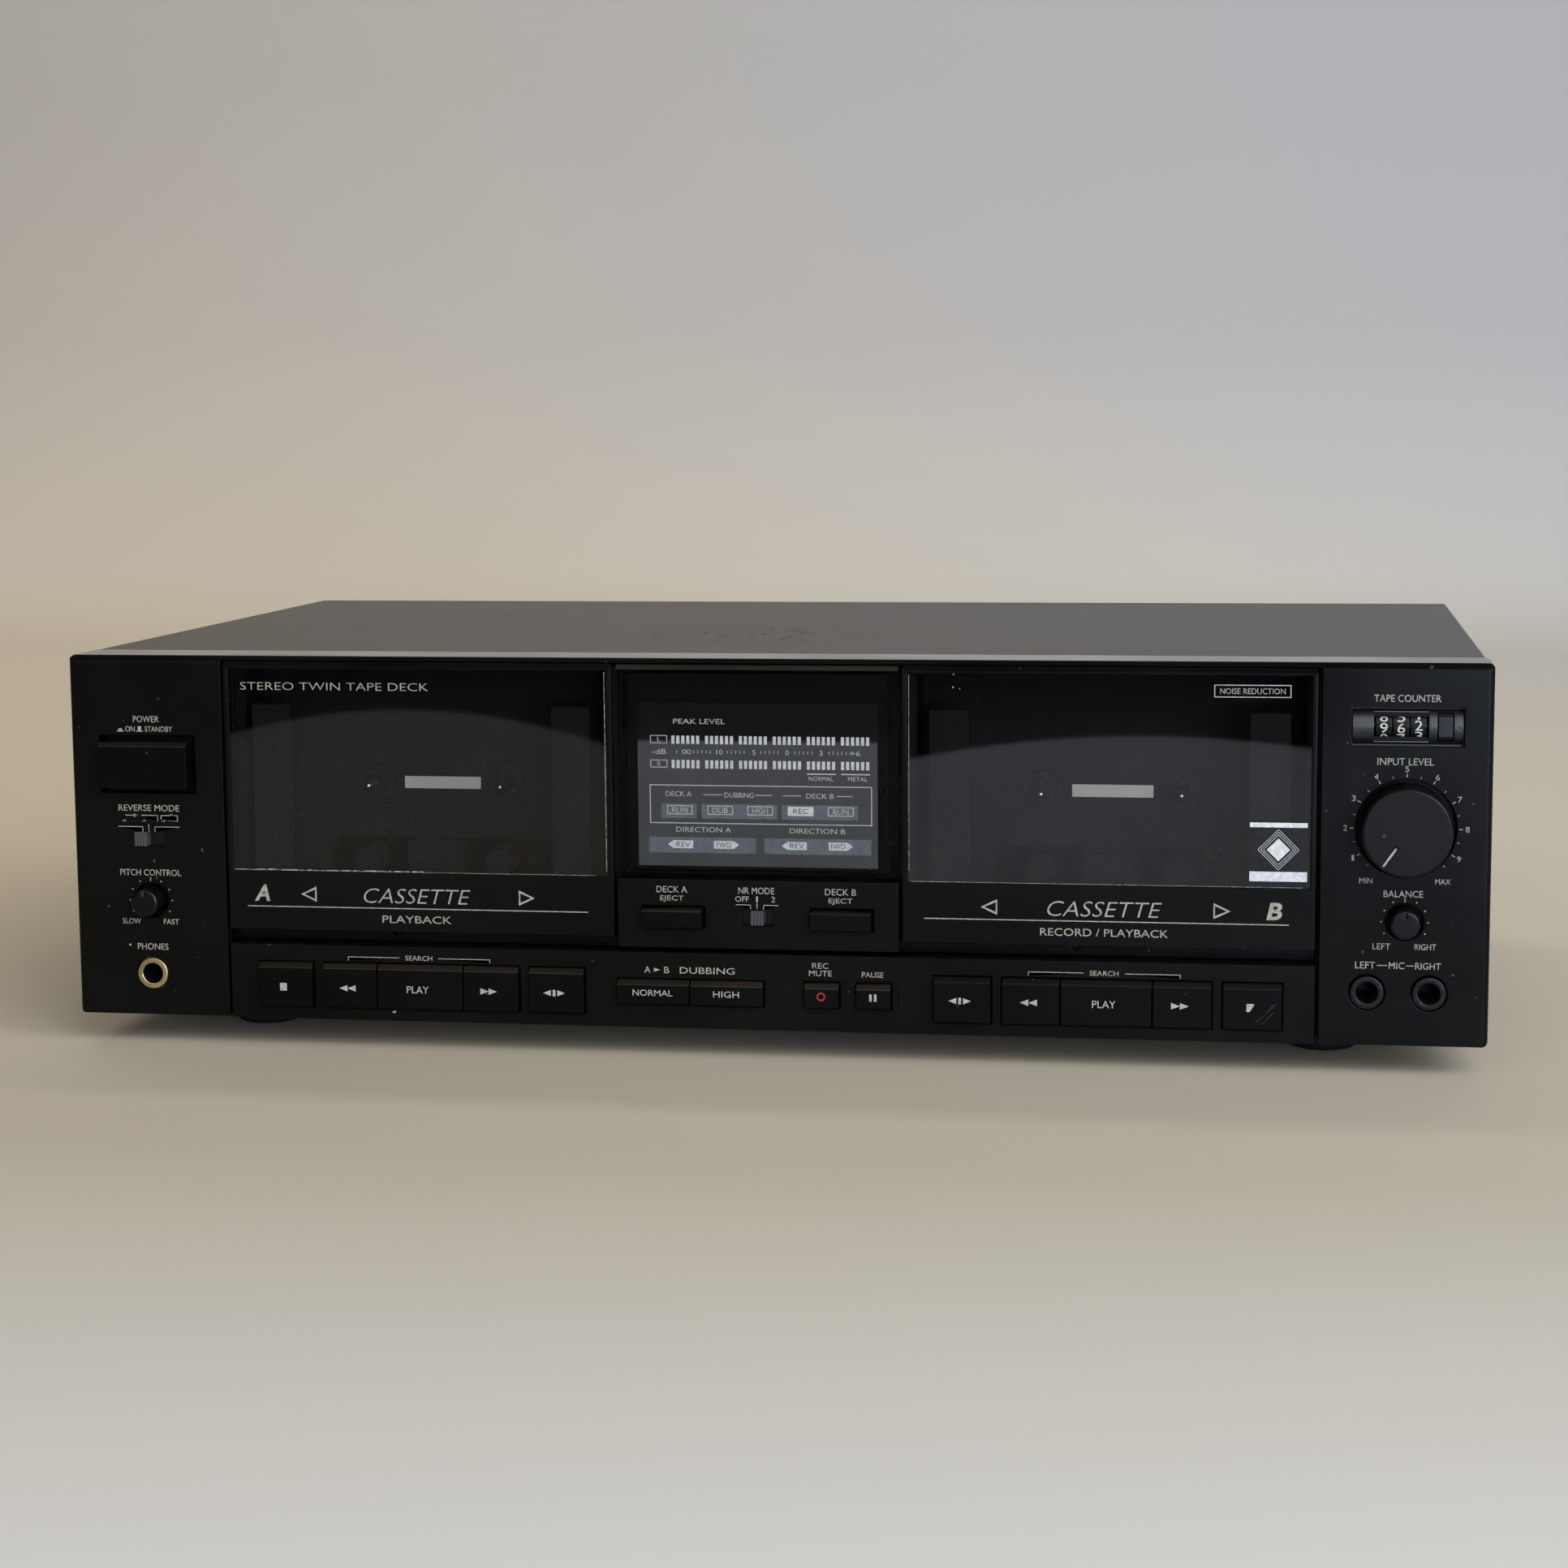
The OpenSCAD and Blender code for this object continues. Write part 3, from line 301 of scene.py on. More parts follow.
def moulded(name, dark, light, rough, grain=0.9, relief=0.02, dust="#6f6a60", dusty=0.25, gloss=0.17, coat=0):
    """Moulded plastic or rubber: a fine broken sheen, cloudy handling marks and a few specks of dust."""
    material, tree, shader, where = new_material(name)
    cloud = noise(tree, where, 38, 5)
    spots = spread(tree, noise(tree, where, 2.6, 1), 0.76, 0.8, 0, dusty)
    body = ramp(tree, cloud, (0.3, dark), (0.72, light))
    feed(tree, shader, {
        "Base Color": mixed(tree, spots, body, dust),
        "Roughness": spread(tree, cloud, 0.3, 0.75, rough - 0.07, rough + 0.07),
        "Normal": bumped(tree, noise(tree, where, grain, 2), 0.35, relief),
        "IOR": 1.53,
        "Specular IOR Level": gloss,
    })
    if coat:
        feed(tree, shader, {"Coat Weight": coat, "Coat Roughness": coat_rough})
    return material


def baked_paint():
    """Satin stoved paint on sheet steel: orange-peel ripple, settled dust on top and fine sideways scuffs.

    One place on top is rubbed dull in short strokes.
    """
    material, tree, shader, where = new_material("steel_satin_stoved_paint")
    cloud = noise(tree, where, 55, 6)
    lines = noise(tree, drawn_out(tree, where, (0.05, 1, 1), 0.05), 1.1, 3)
    scuff = spread(tree, lines, 0.66, 0.74, 0, 0.35)
    up = add(tree, "SeparateXYZ", {0: add(tree, "NewGeometry").outputs["Normal"]}).outputs["Z"]
    dust = spread(tree, maths(tree, "MULTIPLY", up, cloud), 0.3, 0.75, 0.02, 0.13)
    reach = add(tree, "VectorMath", {0: where, 1: place(*rub_middle)}, operation="DISTANCE").outputs["Value"]
    near = spread(tree, reach, rub_reach * MM, rub_full * MM)
    strokes = noise(tree, drawn_out(tree, where, (1, 0.2, 1), -0.5), 2.4, 4)
    rubbed = maths(tree, "MULTIPLY", near, spread(tree, strokes, 0.53, 0.64, 0, 0.75))
    body = ramp(tree, cloud, (0.3, "#201b17"), (0.7, "#2a241f"))
    worn = mixed(tree, scuff, mixed(tree, rubbed, body, "#080706"), "#4a443d")
    feed(tree, shader, {
        "Base Color": mixed(tree, dust, worn, "#a39a8a"),
        "Roughness": spread(tree, cloud, 0.3, 0.7, 0.37, 0.44),
        "Normal": bumped(tree, noise(tree, where, 1.6, 2), 0.3, 0.03),
        "Specular IOR Level": spread(tree, rubbed, 0, 0.75, 0.4, 0.08),
    })
    return material


def plated_metal(name, dark, light, rough, grain=(0.08, 1, 1), grain_size=0.7):
    """Plated or ground metal: a drawn grain along the work, with stains that dull the shine."""
    material, tree, shader, where = new_material(name)
    lines = noise(tree, drawn_out(tree, where, grain), grain_size, 3)
    stain = noise(tree, where, 22, 5)
    tone = add(tree, "Mix", {0: 0.5, 2: lines, 3: stain}, data_type="FLOAT").outputs[0]
    feed(tree, shader, {
        "Base Color": ramp(tree, tone, (0.35, dark), (0.65, light)),
        "Roughness": spread(tree, stain, 0.3, 0.7, rough - 0.06, rough + 0.1),
        "Normal": bumped(tree, lines, 0.15, 0.01),
        "Metallic": 1,
    })
    return material


def smoked_acrylic(name, alpha, painted_reflection=None):
    """Cast smoked acrylic: a deep gloss over a dark tint, with finger smears and dust that catch the light.

    A painted reflection may glow below an arch, given by its middle, its top, its curve and its colour.
    """
    material, tree, shader, where = new_material(name)
    smear = noise(tree, where, 30, 6)
    spots = spread(tree, noise(tree, where, 1.7, 1), 0.79, 0.82, 0, 0.3)
    tint = ramp(tree, smear, (0.4, "#040404"), (0.8, "#080807"))
    # Painted reflection: a faint glow below the arch stands for the floor that the window mirrors
    if painted_reflection:
        reflection_x, reflection_z, curve, colour = painted_reflection
        top = place(reflection_x, 0, reflection_z)
        fade = reflection_fade * MM
        at = add(tree, "SeparateXYZ", {0: where}).outputs
        across = maths(tree, "ADD", at["X"], -top.x)
        square = maths(tree, "MULTIPLY", across, across)
        arch = maths(tree, "MULTIPLY_ADD", square, curve / MM, at["Z"])
        below = spread(tree, arch, top.z + fade, top.z - fade, interpolation_type="SMOOTHSTEP")
        reflection_mottle = spread(tree, smear, 0.3, 0.7, 0.86, 1)
        reflection_glow = mixed(tree, maths(tree, "MULTIPLY", below, reflection_mottle), "#000000", colour)
        feed(tree, shader, {"Emission Color": reflection_glow, "Emission Strength": 1 / (alpha * (2 - alpha))})
    feed(tree, shader, {
        "Base Color": mixed(tree, spots, tint, "#8a857a"),
        "Roughness": spread(tree, smear, 0.4, 0.8, 0.03, 0.09),
        "Specular IOR Level": 0.4,
        "Alpha": alpha,
    })
    return material


def screen_ink(name, dark, light, rough=0.6, gloss=0.15):
    """Screen-printed ink: nearly even, a little thin and worn in places."""
    material, tree, shader, where = new_material(name)
    tone = ramp(tree, noise(tree, where, 1.3, 4), (0.35, dark), (0.6, light))
    feed(tree, shader, {"Base Color": tone, "Roughness": rough, "Specular IOR Level": gloss})
    return material


def display_film():
    """Printed field behind the display lens: grey below a soft edge, a painted reflection of the bright room
    in the lens, black above it.
    """
    material, tree, shader, where = new_material("painted_reflection_display_grey_to_black")
    height = add(tree, "SeparateXYZ", {0: where}).outputs["Z"]
    low, high = (place(0, 0, z).z for z in display_reflection_edge)
    rise = spread(tree, height, low, high, interpolation_type="SMOOTHSTEP")
    grey = ramp(tree, noise(tree, where, 14, 4), (0.3, "#393938"), (0.7, "#41403f"))
    tone = mixed(tree, rise, grey, "#030303")
    feed(tree, shader, {"Base Color": tone, "Roughness": 0.5, "Specular IOR Level": 0.1})
    return material


fascia_abs = moulded("abs_moulded_sparked_panel", "#080807", "#0b0b0a", 0.3, gloss=0.08)
door_abs = moulded("abs_moulded_satin_door", "#070707", "#0b0b0a", 0.3, 1.2, 0.012, gloss=0.085)
key_abs = moulded("abs_moulded_satin_key", "#060605", "#090908", 0.44, 0.8, 0.015, gloss=0.05)
well_abs = moulded("abs_moulded_matt_well", "#0e0e0d", "#131211", 0.58, dusty=0.12, gloss=0.04)
black_abs = moulded("abs_moulded_black_socket", "#0c0c0c", "#141414", 0.5, dusty=0.1)
white_abs = moulded("abs_moulded_white_guide", "#8e8a82", "#a39f97", 0.5, dust="#8d887e", dusty=0.3)
red_abs = moulded("abs_moulded_red_ring", "#8f1f1a", "#a82a22", 0.42, dusty=0.15)
# The panel's top: polished, and painted lighter and warmer where it catches the light
lit_top_abs = moulded("abs_moulded_polished_top_painted_light", "#15130f", "#1d1a16", 0.2, relief=0.004, dusty=0.4, gloss=0.5,
                  coat=0.4)
# Upper edges of the doors and the lens: polished, and painted lighter as a highlight
lit_ledge_abs = moulded("abs_moulded_polished_ledge_painted_light", "#1b1915", "#24211c", 0.3, relief=0.004, gloss=0.35)
bush_abs = moulded("abs_moulded_black_bush", "#080808", "#0d0d0d", 0.3, dusty=0.1, gloss=0.22)
knob_abs = moulded("abs_moulded_satin_knob", "#070707", "#0a0a0a", 0.42, 0.8, 0.01, gloss=0.12)
# Knob rims: glossier, and painted a little lighter as a highlight
lit_rim_abs = moulded("abs_moulded_polished_knob_rim_painted_light", "#0b0b0b", "#121212", 0.24, relief=0.005, gloss=0.22)
slide_abs = moulded("abs_moulded_grey_slide", "#383837", "#4b4b49", 0.45)
# Key top bevels with painted light: lit warm on deck A, dimmer on deck B
lit_key_edges = {"a": moulded("abs_moulded_key_edge_painted_light_a", "#16120d", "#221b14", 0.4, gloss=0.2),
             "b": moulded("abs_moulded_key_edge_painted_light_b", "#0b0b0a", "#12110f", 0.44, gloss=0.12)}
# Pale strips at the counter's opening: painted highlights of its lips
edge_abs = moulded("abs_moulded_pale_edge_painted_highlight", "#57564f", "#7d7b74", 0.5, 1.5, 0.05)
wheel_abs = moulded("abs_moulded_gloss_wheel", "#0b0b0b", "#121212", 0.22, dusty=0.1)
shell_abs = moulded("abs_moulded_gloss_shell", "#131313", "#1b1b1b", 0.38, dusty=0.2, gloss=0.5)
reset_abs = moulded("abs_moulded_grey_reset", "#141414", "#1c1c1c", 0.4, gloss=0.2)
hub_abs = moulded("abs_moulded_black_hub", "#040404", "#070707", 0.5, dusty=0.1, gloss=0.1)
foot_rubber = moulded("rubber_moulded_matt_foot", "#0f0f0e", "#181716", 0.78, 1.4, 0.05)
roller_rubber = moulded("rubber_ground_matt_roller", "#0a0a09", "#100f0e", 0.7, 0.7, 0.03,
                        dusty=0.02, gloss=0.05)
resist_green = moulded("epoxy_board_green_resist", "#16381f", "#1f4a2a", 0.4, 2.5)
cover_paint = baked_paint()
zinc_steel = plated_metal("steel_zinc_plated_sheet", "#9a9a94", "#bdbdb7", 0.4)
black_steel = plated_metal("steel_black_oxide_screw", "#2a2a2b", "#3a3a3a", 0.45, (1, 1, 1), 0.9)
bright_steel = plated_metal("steel_ground_polished", "#a9a9a8", "#cfcfcd", 0.24, (1, 0.1, 1), 0.5)
bridge_steel = plated_metal("steel_black_zinc_bridge", "#060606", "#0a0a0a", 0.5)
gold_plate = plated_metal("brass_gold_plated_ring", "#9c8a66", "#c8b68e", 0.28, (1, 1, 1), 0.9)
core_steel = plated_metal("steel_varnished_laminations", "#3a2f27", "#55483c", 0.5, (1, 1, 0.02), 0.6)
lens_acrylic = smoked_acrylic("acrylic_smoked_clear_lens", 0.05)
# Each window carries a painted reflection of the floor below an arch, warmer on A and cooler on B
pane_acrylic = {"a": smoked_acrylic("acrylic_smoked_painted_reflection_a", 0.1, (-109.7, 97, 0.0026, "#1d1b17")),
                "b": smoked_acrylic("acrylic_smoked_painted_reflection_b", 0.1, (118.4, 91.1, 0.00146, "#292b2d"))}
cream_ink = screen_ink("ink_screen_printed_cream", "#857f73", "#9e988b")
key_ink = screen_ink("ink_screen_printed_grey", "#8f8b81", "#a7a399")
white_ink = screen_ink("ink_screen_printed_white", "#a5a39c", "#bbb9b2")
red_ink = screen_ink("ink_screen_printed_red", "#7c2a20", "#8f3427")
display_black = screen_ink("plate_screen_printed_black", "#020202", "#050505", 0.5, 0.05)


# Modelling
def dress(piece, material):
    """Gives a piece one material."""
    piece.data.materials.clear()
    piece.data.materials.append(material)


def settle(piece, body, material):
    """Freezes a finished piece's place into its mesh and makes it ride on its body."""
    pick(piece)
    bpy.ops.object.transform_apply(location=True, rotation=True, scale=True)
    dress(piece, material)
    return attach(piece, body)


def rounded(piece, edge, segments=2, angle=35):
    """Rounds the sharp edges of a piece to a width in millimetres and smooths its curved faces."""
    pick(piece)
    bevel = piece.modifiers.new("edges", "BEVEL")
    bevel.width = edge * MM
    bevel.segments = segments
    bevel.limit_method = "ANGLE"
    bevel.angle_limit = math.radians(angle)
    bevel.use_clamp_overlap = False
    bevel.loop_slide = False
    bpy.ops.object.modifier_apply(modifier="edges")
    bpy.ops.object.shade_smooth_by_angle(angle=math.radians(angle))
    piece.modifiers.new("normals", "WEIGHTED_NORMAL").keep_sharp = True
    bpy.ops.object.modifier_apply(modifier="normals")
    return piece


def merged_copy(node, name):
    """A copy of a CAD piece whose loose triangles are joined at their corners."""
    piece = new_object(name, nodes[node].data.copy())
    piece.data.materials.clear()
    pick(piece)
    bpy.ops.mesh.customdata_custom_splitnormals_clear()
    bpy.ops.object.mode_set(mode="EDIT")
    bpy.ops.mesh.select_all(action="SELECT")
    bpy.ops.mesh.remove_doubles(threshold=0.001 * MM)
    bpy.ops.object.mode_set(mode="OBJECT")
    return piece


def softened(node, edge, material, segments=2):
    """Stands for a CAD piece: the same shape with the rounded edges that a mould or a press leaves."""
    piece = rounded(merged_copy(node, node + ".shell"), edge, segments)
    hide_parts(node)
    return settle(piece, body_of[node], material)


# Flat ink. Outlines and words are drawn across and up, then stood on the front
ink_t = 0.06
text_half_t = 0.01


def box_line(x0, z0, x1, z1):
    """A rectangle's outline."""
    return [(x0, z0), (x1, z0), (x1, z1), (x0, z1)]


def frame_lines(x0, z0, x1, z1, t=0.24):
    """A rectangular frame of line thickness t: the outer and the inner outline."""
    return [box_line(x0, z0, x1, z1), box_line(x0 + t, z0 + t, x1 - t, z1 - t)]


def round_line(x, z, r, steps=20):
    """A circle's outline."""
    return [(x + r * math.cos(2 * math.pi * i / steps), z + r * math.sin(2 * math.pi * i / steps))
            for i in range(steps)]


def arrow_head(x, z, w, h):
    """A triangle from its flat side at x to its tip at x + w."""
    return [(x, z - h / 2), (x + w, z), (x, z + h / 2)]


def turned(points, x, z, degrees):
    """Points turned clockwise round a centre."""
    c, s = math.cos(math.radians(degrees)), math.sin(math.radians(degrees))
    return [(x + (px - x) * c + (pz - z) * s, z - (px - x) * s + (pz - z) * c) for px, pz in points]


def ink_shapes(outlines):
    """Closed outlines filled as one flat curve, made a mesh; an outline inside another is a hole."""
    curve = bpy.data.curves.new("ink", "CURVE")
    curve.dimensions = "2D"
    curve.fill_mode = "BOTH"
    curve.extrude = ink_t * MM / 2
    for outline in outlines:
        spline = curve.splines.new("POLY")
        spline.points.add(len(outline) - 1)
        for point, (x, z) in zip(spline.points, outline):
            point.co = (x * MM, z * MM, 0, 1)
        spline.use_cyclic_u = True
    pick(new_object("ink", curve))
    bpy.ops.object.convert(target="MESH")
    return bpy.context.object


def ink_word(word, x, z, w, h, slant=0, weight=0):
    """One word round a middle, stretched to a width and a height; more weight makes bolder letters."""
    bpy.ops.object.text_add(location=(0, 0, 0))
    text = bpy.context.object
    text.data.body = word
    text.data.resolution_u = 3
    text.data.shear = slant
    text.data.offset = weight
    text.data.extrude = text_half_t
    bpy.ops.object.convert(target="MESH")
    text = bpy.context.object
    xs = [v.co.x for v in text.data.vertices]
    ys = [v.co.y for v in text.data.vertices]
    wide = w * MM / (max(xs) - min(xs))
    tall = h * MM / (max(ys) - min(ys))
    thick = ink_t * MM / (2 * text_half_t)
    shift = Matrix.Translation(((x - w / 2) * MM - min(xs) * wide, (z - h / 2) * MM - min(ys) * tall, 0))
    text.data.transform(shift @ Matrix.Diagonal((wide, tall, thick, 1)))
    return text


def printed(name, body, depth, material, words=(), shapes=(), lean=None, behind=False, shift=(0, 0)):
    """Words and shapes in one ink on a face at a depth in millimetres, riding on a body.

    The face may lean, or be read from behind with its words placed as they are seen there.
    All of it may be shifted across and up.
    """
    inks = [ink_word(*word) for word in words]
    if shapes:
        inks.append(ink_shapes(shapes))
    pick(*inks)
    if len(inks) > 1:
        bpy.ops.object.join()
    print_piece = bpy.context.object
    print_piece.name = name
    stand = Matrix.Rotation(math.pi / 2, 4, "X")
    if behind:
        stand = Matrix.Rotation(math.pi, 4, "Z") @ stand
    proud = ink_t / 2 if behind else -ink_t / 2
    print_piece.data.transform(Matrix.Translation(place(shift[0], depth + proud, shift[1])) @ stand)
    if lean:
        for corner in print_piece.data.vertices:
            corner.co.y += lean(corner.co.x / MM, (corner.co.z - panel_lo.z) / MM) * MM
    settle(print_piece, body, material)


# Casing, mechanisms and controls: the CAD shapes with rounded edges
decks = ("a", "b")
keys = [f"{kind}_key_{deck}" for deck in decks for kind in ("stop", "rewind", "play", "forward", "direction")]
keys += ["dub_normal_key", "dub_high_key", "record_key", "pause_key"]
keys += ["eject_button_a", "eject_button_b", "power_button"]
wheel_steps = {"counter_hundreds": 0.12 - 9, "counter_tens": 0.13 - 6, "counter_units": -0.12 - 2}
spindles = [f"spindle_{deck}_{side}" for deck in decks for side in ("left", "right")]

for node in ("bay_frame", "centre_panel"):
    softened(node, 0.3, fascia_abs)
softened("control_strip", 0.14, fascia_abs)
softened("top_cover", 0.3, cover_paint)
softened("rear_panel", 0.2, cover_paint)
softened("chassis_base", 0.2, zinc_steel)
softened("feet", 0.6, foot_rubber, 3)
softened("cord_gland", 0.5, foot_rubber, 3)
lens = softened("display_window", 0.3, lens_acrylic, 3)
softened("display_plate", 0.2, display_black)
door_frames, slides = {}, {}
for deck in decks:
    door_frames[deck] = softened(f"door_{deck}_frame", 0.3, door_abs, 3)
    softened(f"door_{deck}_holder", 0.25, well_abs)
    softened(f"mechanism_{deck}", 0.25, well_abs)
for node in ("reverse_switch", "noise_switch"):
    slides[node] = softened(node, 0.1, slide_abs)
for node in spindles:
    softened(node, 0.18, hub_abs)
for node in wheel_steps:
    softened(node, 0.15, wheel_abs)
softened("counter_housing", 0.12, shell_abs)
softened("counter_reset", 0.25, reset_abs)

# Inside: the CAD shapes in their materials
inside = {"flywheel_a": bridge_steel, "flywheel_b": bridge_steel, "potentiometers": zinc_steel,
          "main_board": resist_green, "transformer": core_steel}
for node, material in inside.items():
    dress(nodes[node], material)


def coated(piece, material, test):
    """Gives a further material to the faces whose middle, in the panel's frame, and normal pass a test."""
    piece.data.materials.append(material)
    for face in piece.data.polygons:
        if test((face.center - panel_corner) / MM, face.normal):
            face.material_index = len(piece.data.materials) - 1


# Knobs: a satin face with a rim rubbed smooth, painted a little lighter as a highlight
rim_l = 1.6
for node in ("pitch_knob", "balance_knob", "level_knob"):
    knob = softened(node, 0.35, knob_abs, 4)
    rim_end = span(node)[0].y + rim_l
    coated(knob, lit_rim_abs, lambda at, n: n.y > -0.93 and at.y < rim_end)

# Slide switches: the plate behind the knob is black
slide_plate_t, slide_gap = 1.4, 0.05
for node, slide in slides.items():
    plate_front = span(node)[1].y - slide_plate_t - slide_gap
    coated(slide, bush_abs, lambda at, n: at.y > plate_front)

# Door frames and display lens: their upper edges are polished, and painted lighter as a highlight
top_depth, upward = 0.5, 0.9
for deck, door in door_frames.items():
    door_top = span(f"door_{deck}_frame")[1].z
    coated(door, lit_ledge_abs, lambda at, n: n.z > upward and at.z > door_top - top_depth)
coated(lens, lit_ledge_abs, lambda at, n: n.z > 0.5)

# Front panel and keys: their upward faces are smoother, and painted lighter as lit faces: the panel's top,
# and the key tops warm on deck A and dim on deck B
panel = softened("front_panel", 0.3, fascia_abs)
panel_top = span("front_panel")[1].z
coated(panel, lit_top_abs, lambda at, n: n.z > upward and at.z > panel_top - top_depth)
for node in keys:
    key = softened(node, 0.28, key_abs, 3)
    coated(key, lit_key_edges["b" if node.endswith("_b") else "a"], lambda at, n: n.z > 0.35 and at.y < 0)

# Head bridges: a black plate with a head and two rubber rollers in front of it
plate_reach = 2.8
for deck in decks:
    bridge = softened(f"head_bridge_{deck}", 0.25, bridge_steel)
    plate_front = span(f"head_bridge_{deck}")[1].y - plate_reach
    coated(bridge, roller_rubber, lambda at, n: at.y < plate_front)

# Front sockets: a gold bush for the phones, black bushes for the microphones
bush_l = 3
jacks = softened("front_jacks", 0.3, black_abs, 3)
coated(jacks, gold_plate, lambda at, n: at.y < bush_l and at.x < 0)
coated(jacks, bush_abs, lambda at, n: at.y < bush_l and at.x > 0)

# Door windows: moulded panes, a little bowed, so that what they mirror bends
pane_cols, pane_rows = 28, 10
bow_half = 60
pane_bows = {"a": (-0.007, 0.011, 0), "b": (-0.0005, 0.0064, 10)}


def pane_lean(deck):
    """How far a point of a window's face lies behind the window's front, in millimetres."""
    lo, hi = span(f"door_{deck}_window")
    mid = (lo + hi) / 2
    flat, bow, aside = pane_bows[deck]
    return lambda x, z: (flat + bow * ((x - mid.x - aside) / bow_half) ** 2) * (z - mid.z)


for deck in decks:
    node = f"door_{deck}_window"
    lo, hi = span(node)
    size = hi - lo
    lean = pane_lean(deck)
    bpy.ops.mesh.primitive_grid_add(x_subdivisions=pane_cols, y_subdivisions=pane_rows, size=1)
    pane = bpy.context.object
    pane.name = node + ".pane"
    for corner in pane.data.vertices:
        x, z = lo.x + (corner.co.x + 0.5) * size.x, lo.z + (corner.co.y + 0.5) * size.z
        corner.co = place(x, lo.y + lean(x, z), z)
    thick = pane.modifiers.new("thickness", "SOLIDIFY")
    thick.thickness = size.y * MM
    thick.offset = -1
    bpy.ops.object.modifier_apply(modifier="thickness")
    rounded(pane, 0.35, 3, 50)
    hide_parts(node)
    settle(pane, body_of[node], pane_acrylic[deck])


def block(lo, hi):
    """A cube stretched between two corners, in the panel's millimetres."""
    bpy.ops.mesh.primitive_cube_add(size=1)
    low, high = place(*lo), place(*hi)
    piece = bpy.context.object
    piece.data.transform(Matrix.Translation((low + high) / 2) @ Matrix.Diagonal((*(high - low), 1)))
    return piece


def slab(name, lo, hi, edge, material):
    """A block on the casing with rounded edges."""
    piece = block(lo, hi)
    piece.name = name
    settle(rounded(piece, edge), "casing", material)


# A pale strip lies in the slot behind each window, where a cassette's own window comes
slot_half, slot_half_h, slot_depth, well_plate_t = 12.4, 1.95, 0.45, 2
for deck in decks:
    reel_l, reel_r = middle(f"spindle_{deck}_left"), middle(f"spindle_{deck}_right")
    well_x, well_z = (reel_l[0] + reel_r[0]) / 2, reel_l[1]
    plate_y = span(f"mechanism_{deck}")[1].y - well_plate_t
    slab(f"well_strip_{deck}", (well_x - slot_half, plate_y - slot_depth, well_z - slot_half_h),
         (well_x + slot_half, plate_y, well_z + slot_half_h), 0.15, white_abs)

# Tape counter: white numbers printed round each wheel, which has stopped between two of them
digit_w, digit_h, cuts = 2.25, 2.95, 6


def wheel_numbers(node, rest):
    """Ten numbers bent round a wheel's rim, turned on by a number of steps."""
    lo, hi = span(node)
    mid = (lo + hi) / 2
    rim = (hi.z - lo.z) / 2 + ink_t / 2
    step = 2 * math.pi * rim / 10
    widths = [digit_w / 3 if number == 1 else digit_w for number in range(10)]
    pick(*(ink_word(str(number), mid.x, -(number + rest) * step, wide, digit_h)
           for number, wide in enumerate(widths)))
    bpy.ops.object.join()
    ring = bpy.context.object
    ring.name = node + ".numbers"
    bpy.ops.object.mode_set(mode="EDIT")
    for cut in range(1 - cuts, 11 * cuts):
        bpy.ops.mesh.select_all(action="SELECT")
        bpy.ops.mesh.bisect(plane_co=(0, -(cut / cuts + rest) * step * MM, 0), plane_no=(0, 1, 0))
    bpy.ops.object.mode_set(mode="OBJECT")
    for corner in ring.data.vertices:
        turn = corner.co.y / (rim * MM)
        out = rim + corner.co.z / MM
        corner.co = place(corner.co.x / MM, mid.y - out * math.cos(turn), mid.z + out * math.sin(turn))
    settle(ring, body_of[node], white_ink)


for node, steps in wheel_steps.items():
    wheel_numbers(node, steps)

# Level knob: cream paint in its pointer groove
pointer_turn, pointer_depth = -145, 0.4
pointer = box_line(-0.45, 5.4, 0.45, 11.8)
level_x, level_z = middle("level_knob")
printed("level_pointer", "level_knob", span("level_knob")[0].y + pointer_depth, cream_ink,
        shapes=[turned(pointer, 0, 0, pointer_turn)], shift=(level_x, level_z))


# Legends on the casing. A word is given by its text, its middle across and up, its width and its height
def line_x(x0, x1, z, t=0.22):
    """A thin line across."""
    return box_line(x0, z - t / 2, x1, z + t / 2)


def line_z(x, z0, z1, t=0.22):
    """A thin line up."""
    return box_line(x - t / 2, z0, x + t / 2, z1)


def dial_dots(z, r):
    """A tick over a knob and four dots on each side of it, a step apart in degrees."""
    dot, step = round_line(0, z + r, 0.24, 10), 30
    dots = [turned(dot, 0, z, side * step * n) for side in (-1, 1) for n in range(1, 5)]
    return dots + [line_z(0, z + r - 0.9, z + r + 0.45)]


def slot_bracket(z, reach, gap, drop):
    """Two lines over a slide switch that turn down beside its middle tick."""
    marks = [line_z(0, z - drop, z + drop / 2)]
    for side in (-1, 1):
        marks += [line_x(*sorted((side * gap, side * reach)), z), line_z(side * gap, z - drop, z)]
    return marks


def reverse_marks(x, z, w, h):
    """Three signs for one side, both sides and endless play, w wide and h high, round a middle."""
    t, tip, tip_h = 0.24, 1.3, 1.1
    pitch = w * 1.22
    top, low = z + h / 2, z - h / 2
    marks = []
    for number in (-1, 0, 1):
        left, right = x + number * pitch - w / 2, x + number * pitch + w / 2
        marks += [line_x(left + (tip if number < 0 else 0), right, top, t), line_x(left + tip, right, low, t),
                  arrow_head(left + tip, low, -tip, tip_h)]
        if number < 0:
            marks.append(arrow_head(right - tip, top, tip, tip_h))
        else:
            marks.append(line_z(right, low, top, t))
        if number > 0:
            marks += [line_z(left, low + 0.6, top, t), arrow_head(right - 2.2, top, tip, tip_h)]
    return marks


panel_face = span("front_panel")[0].y

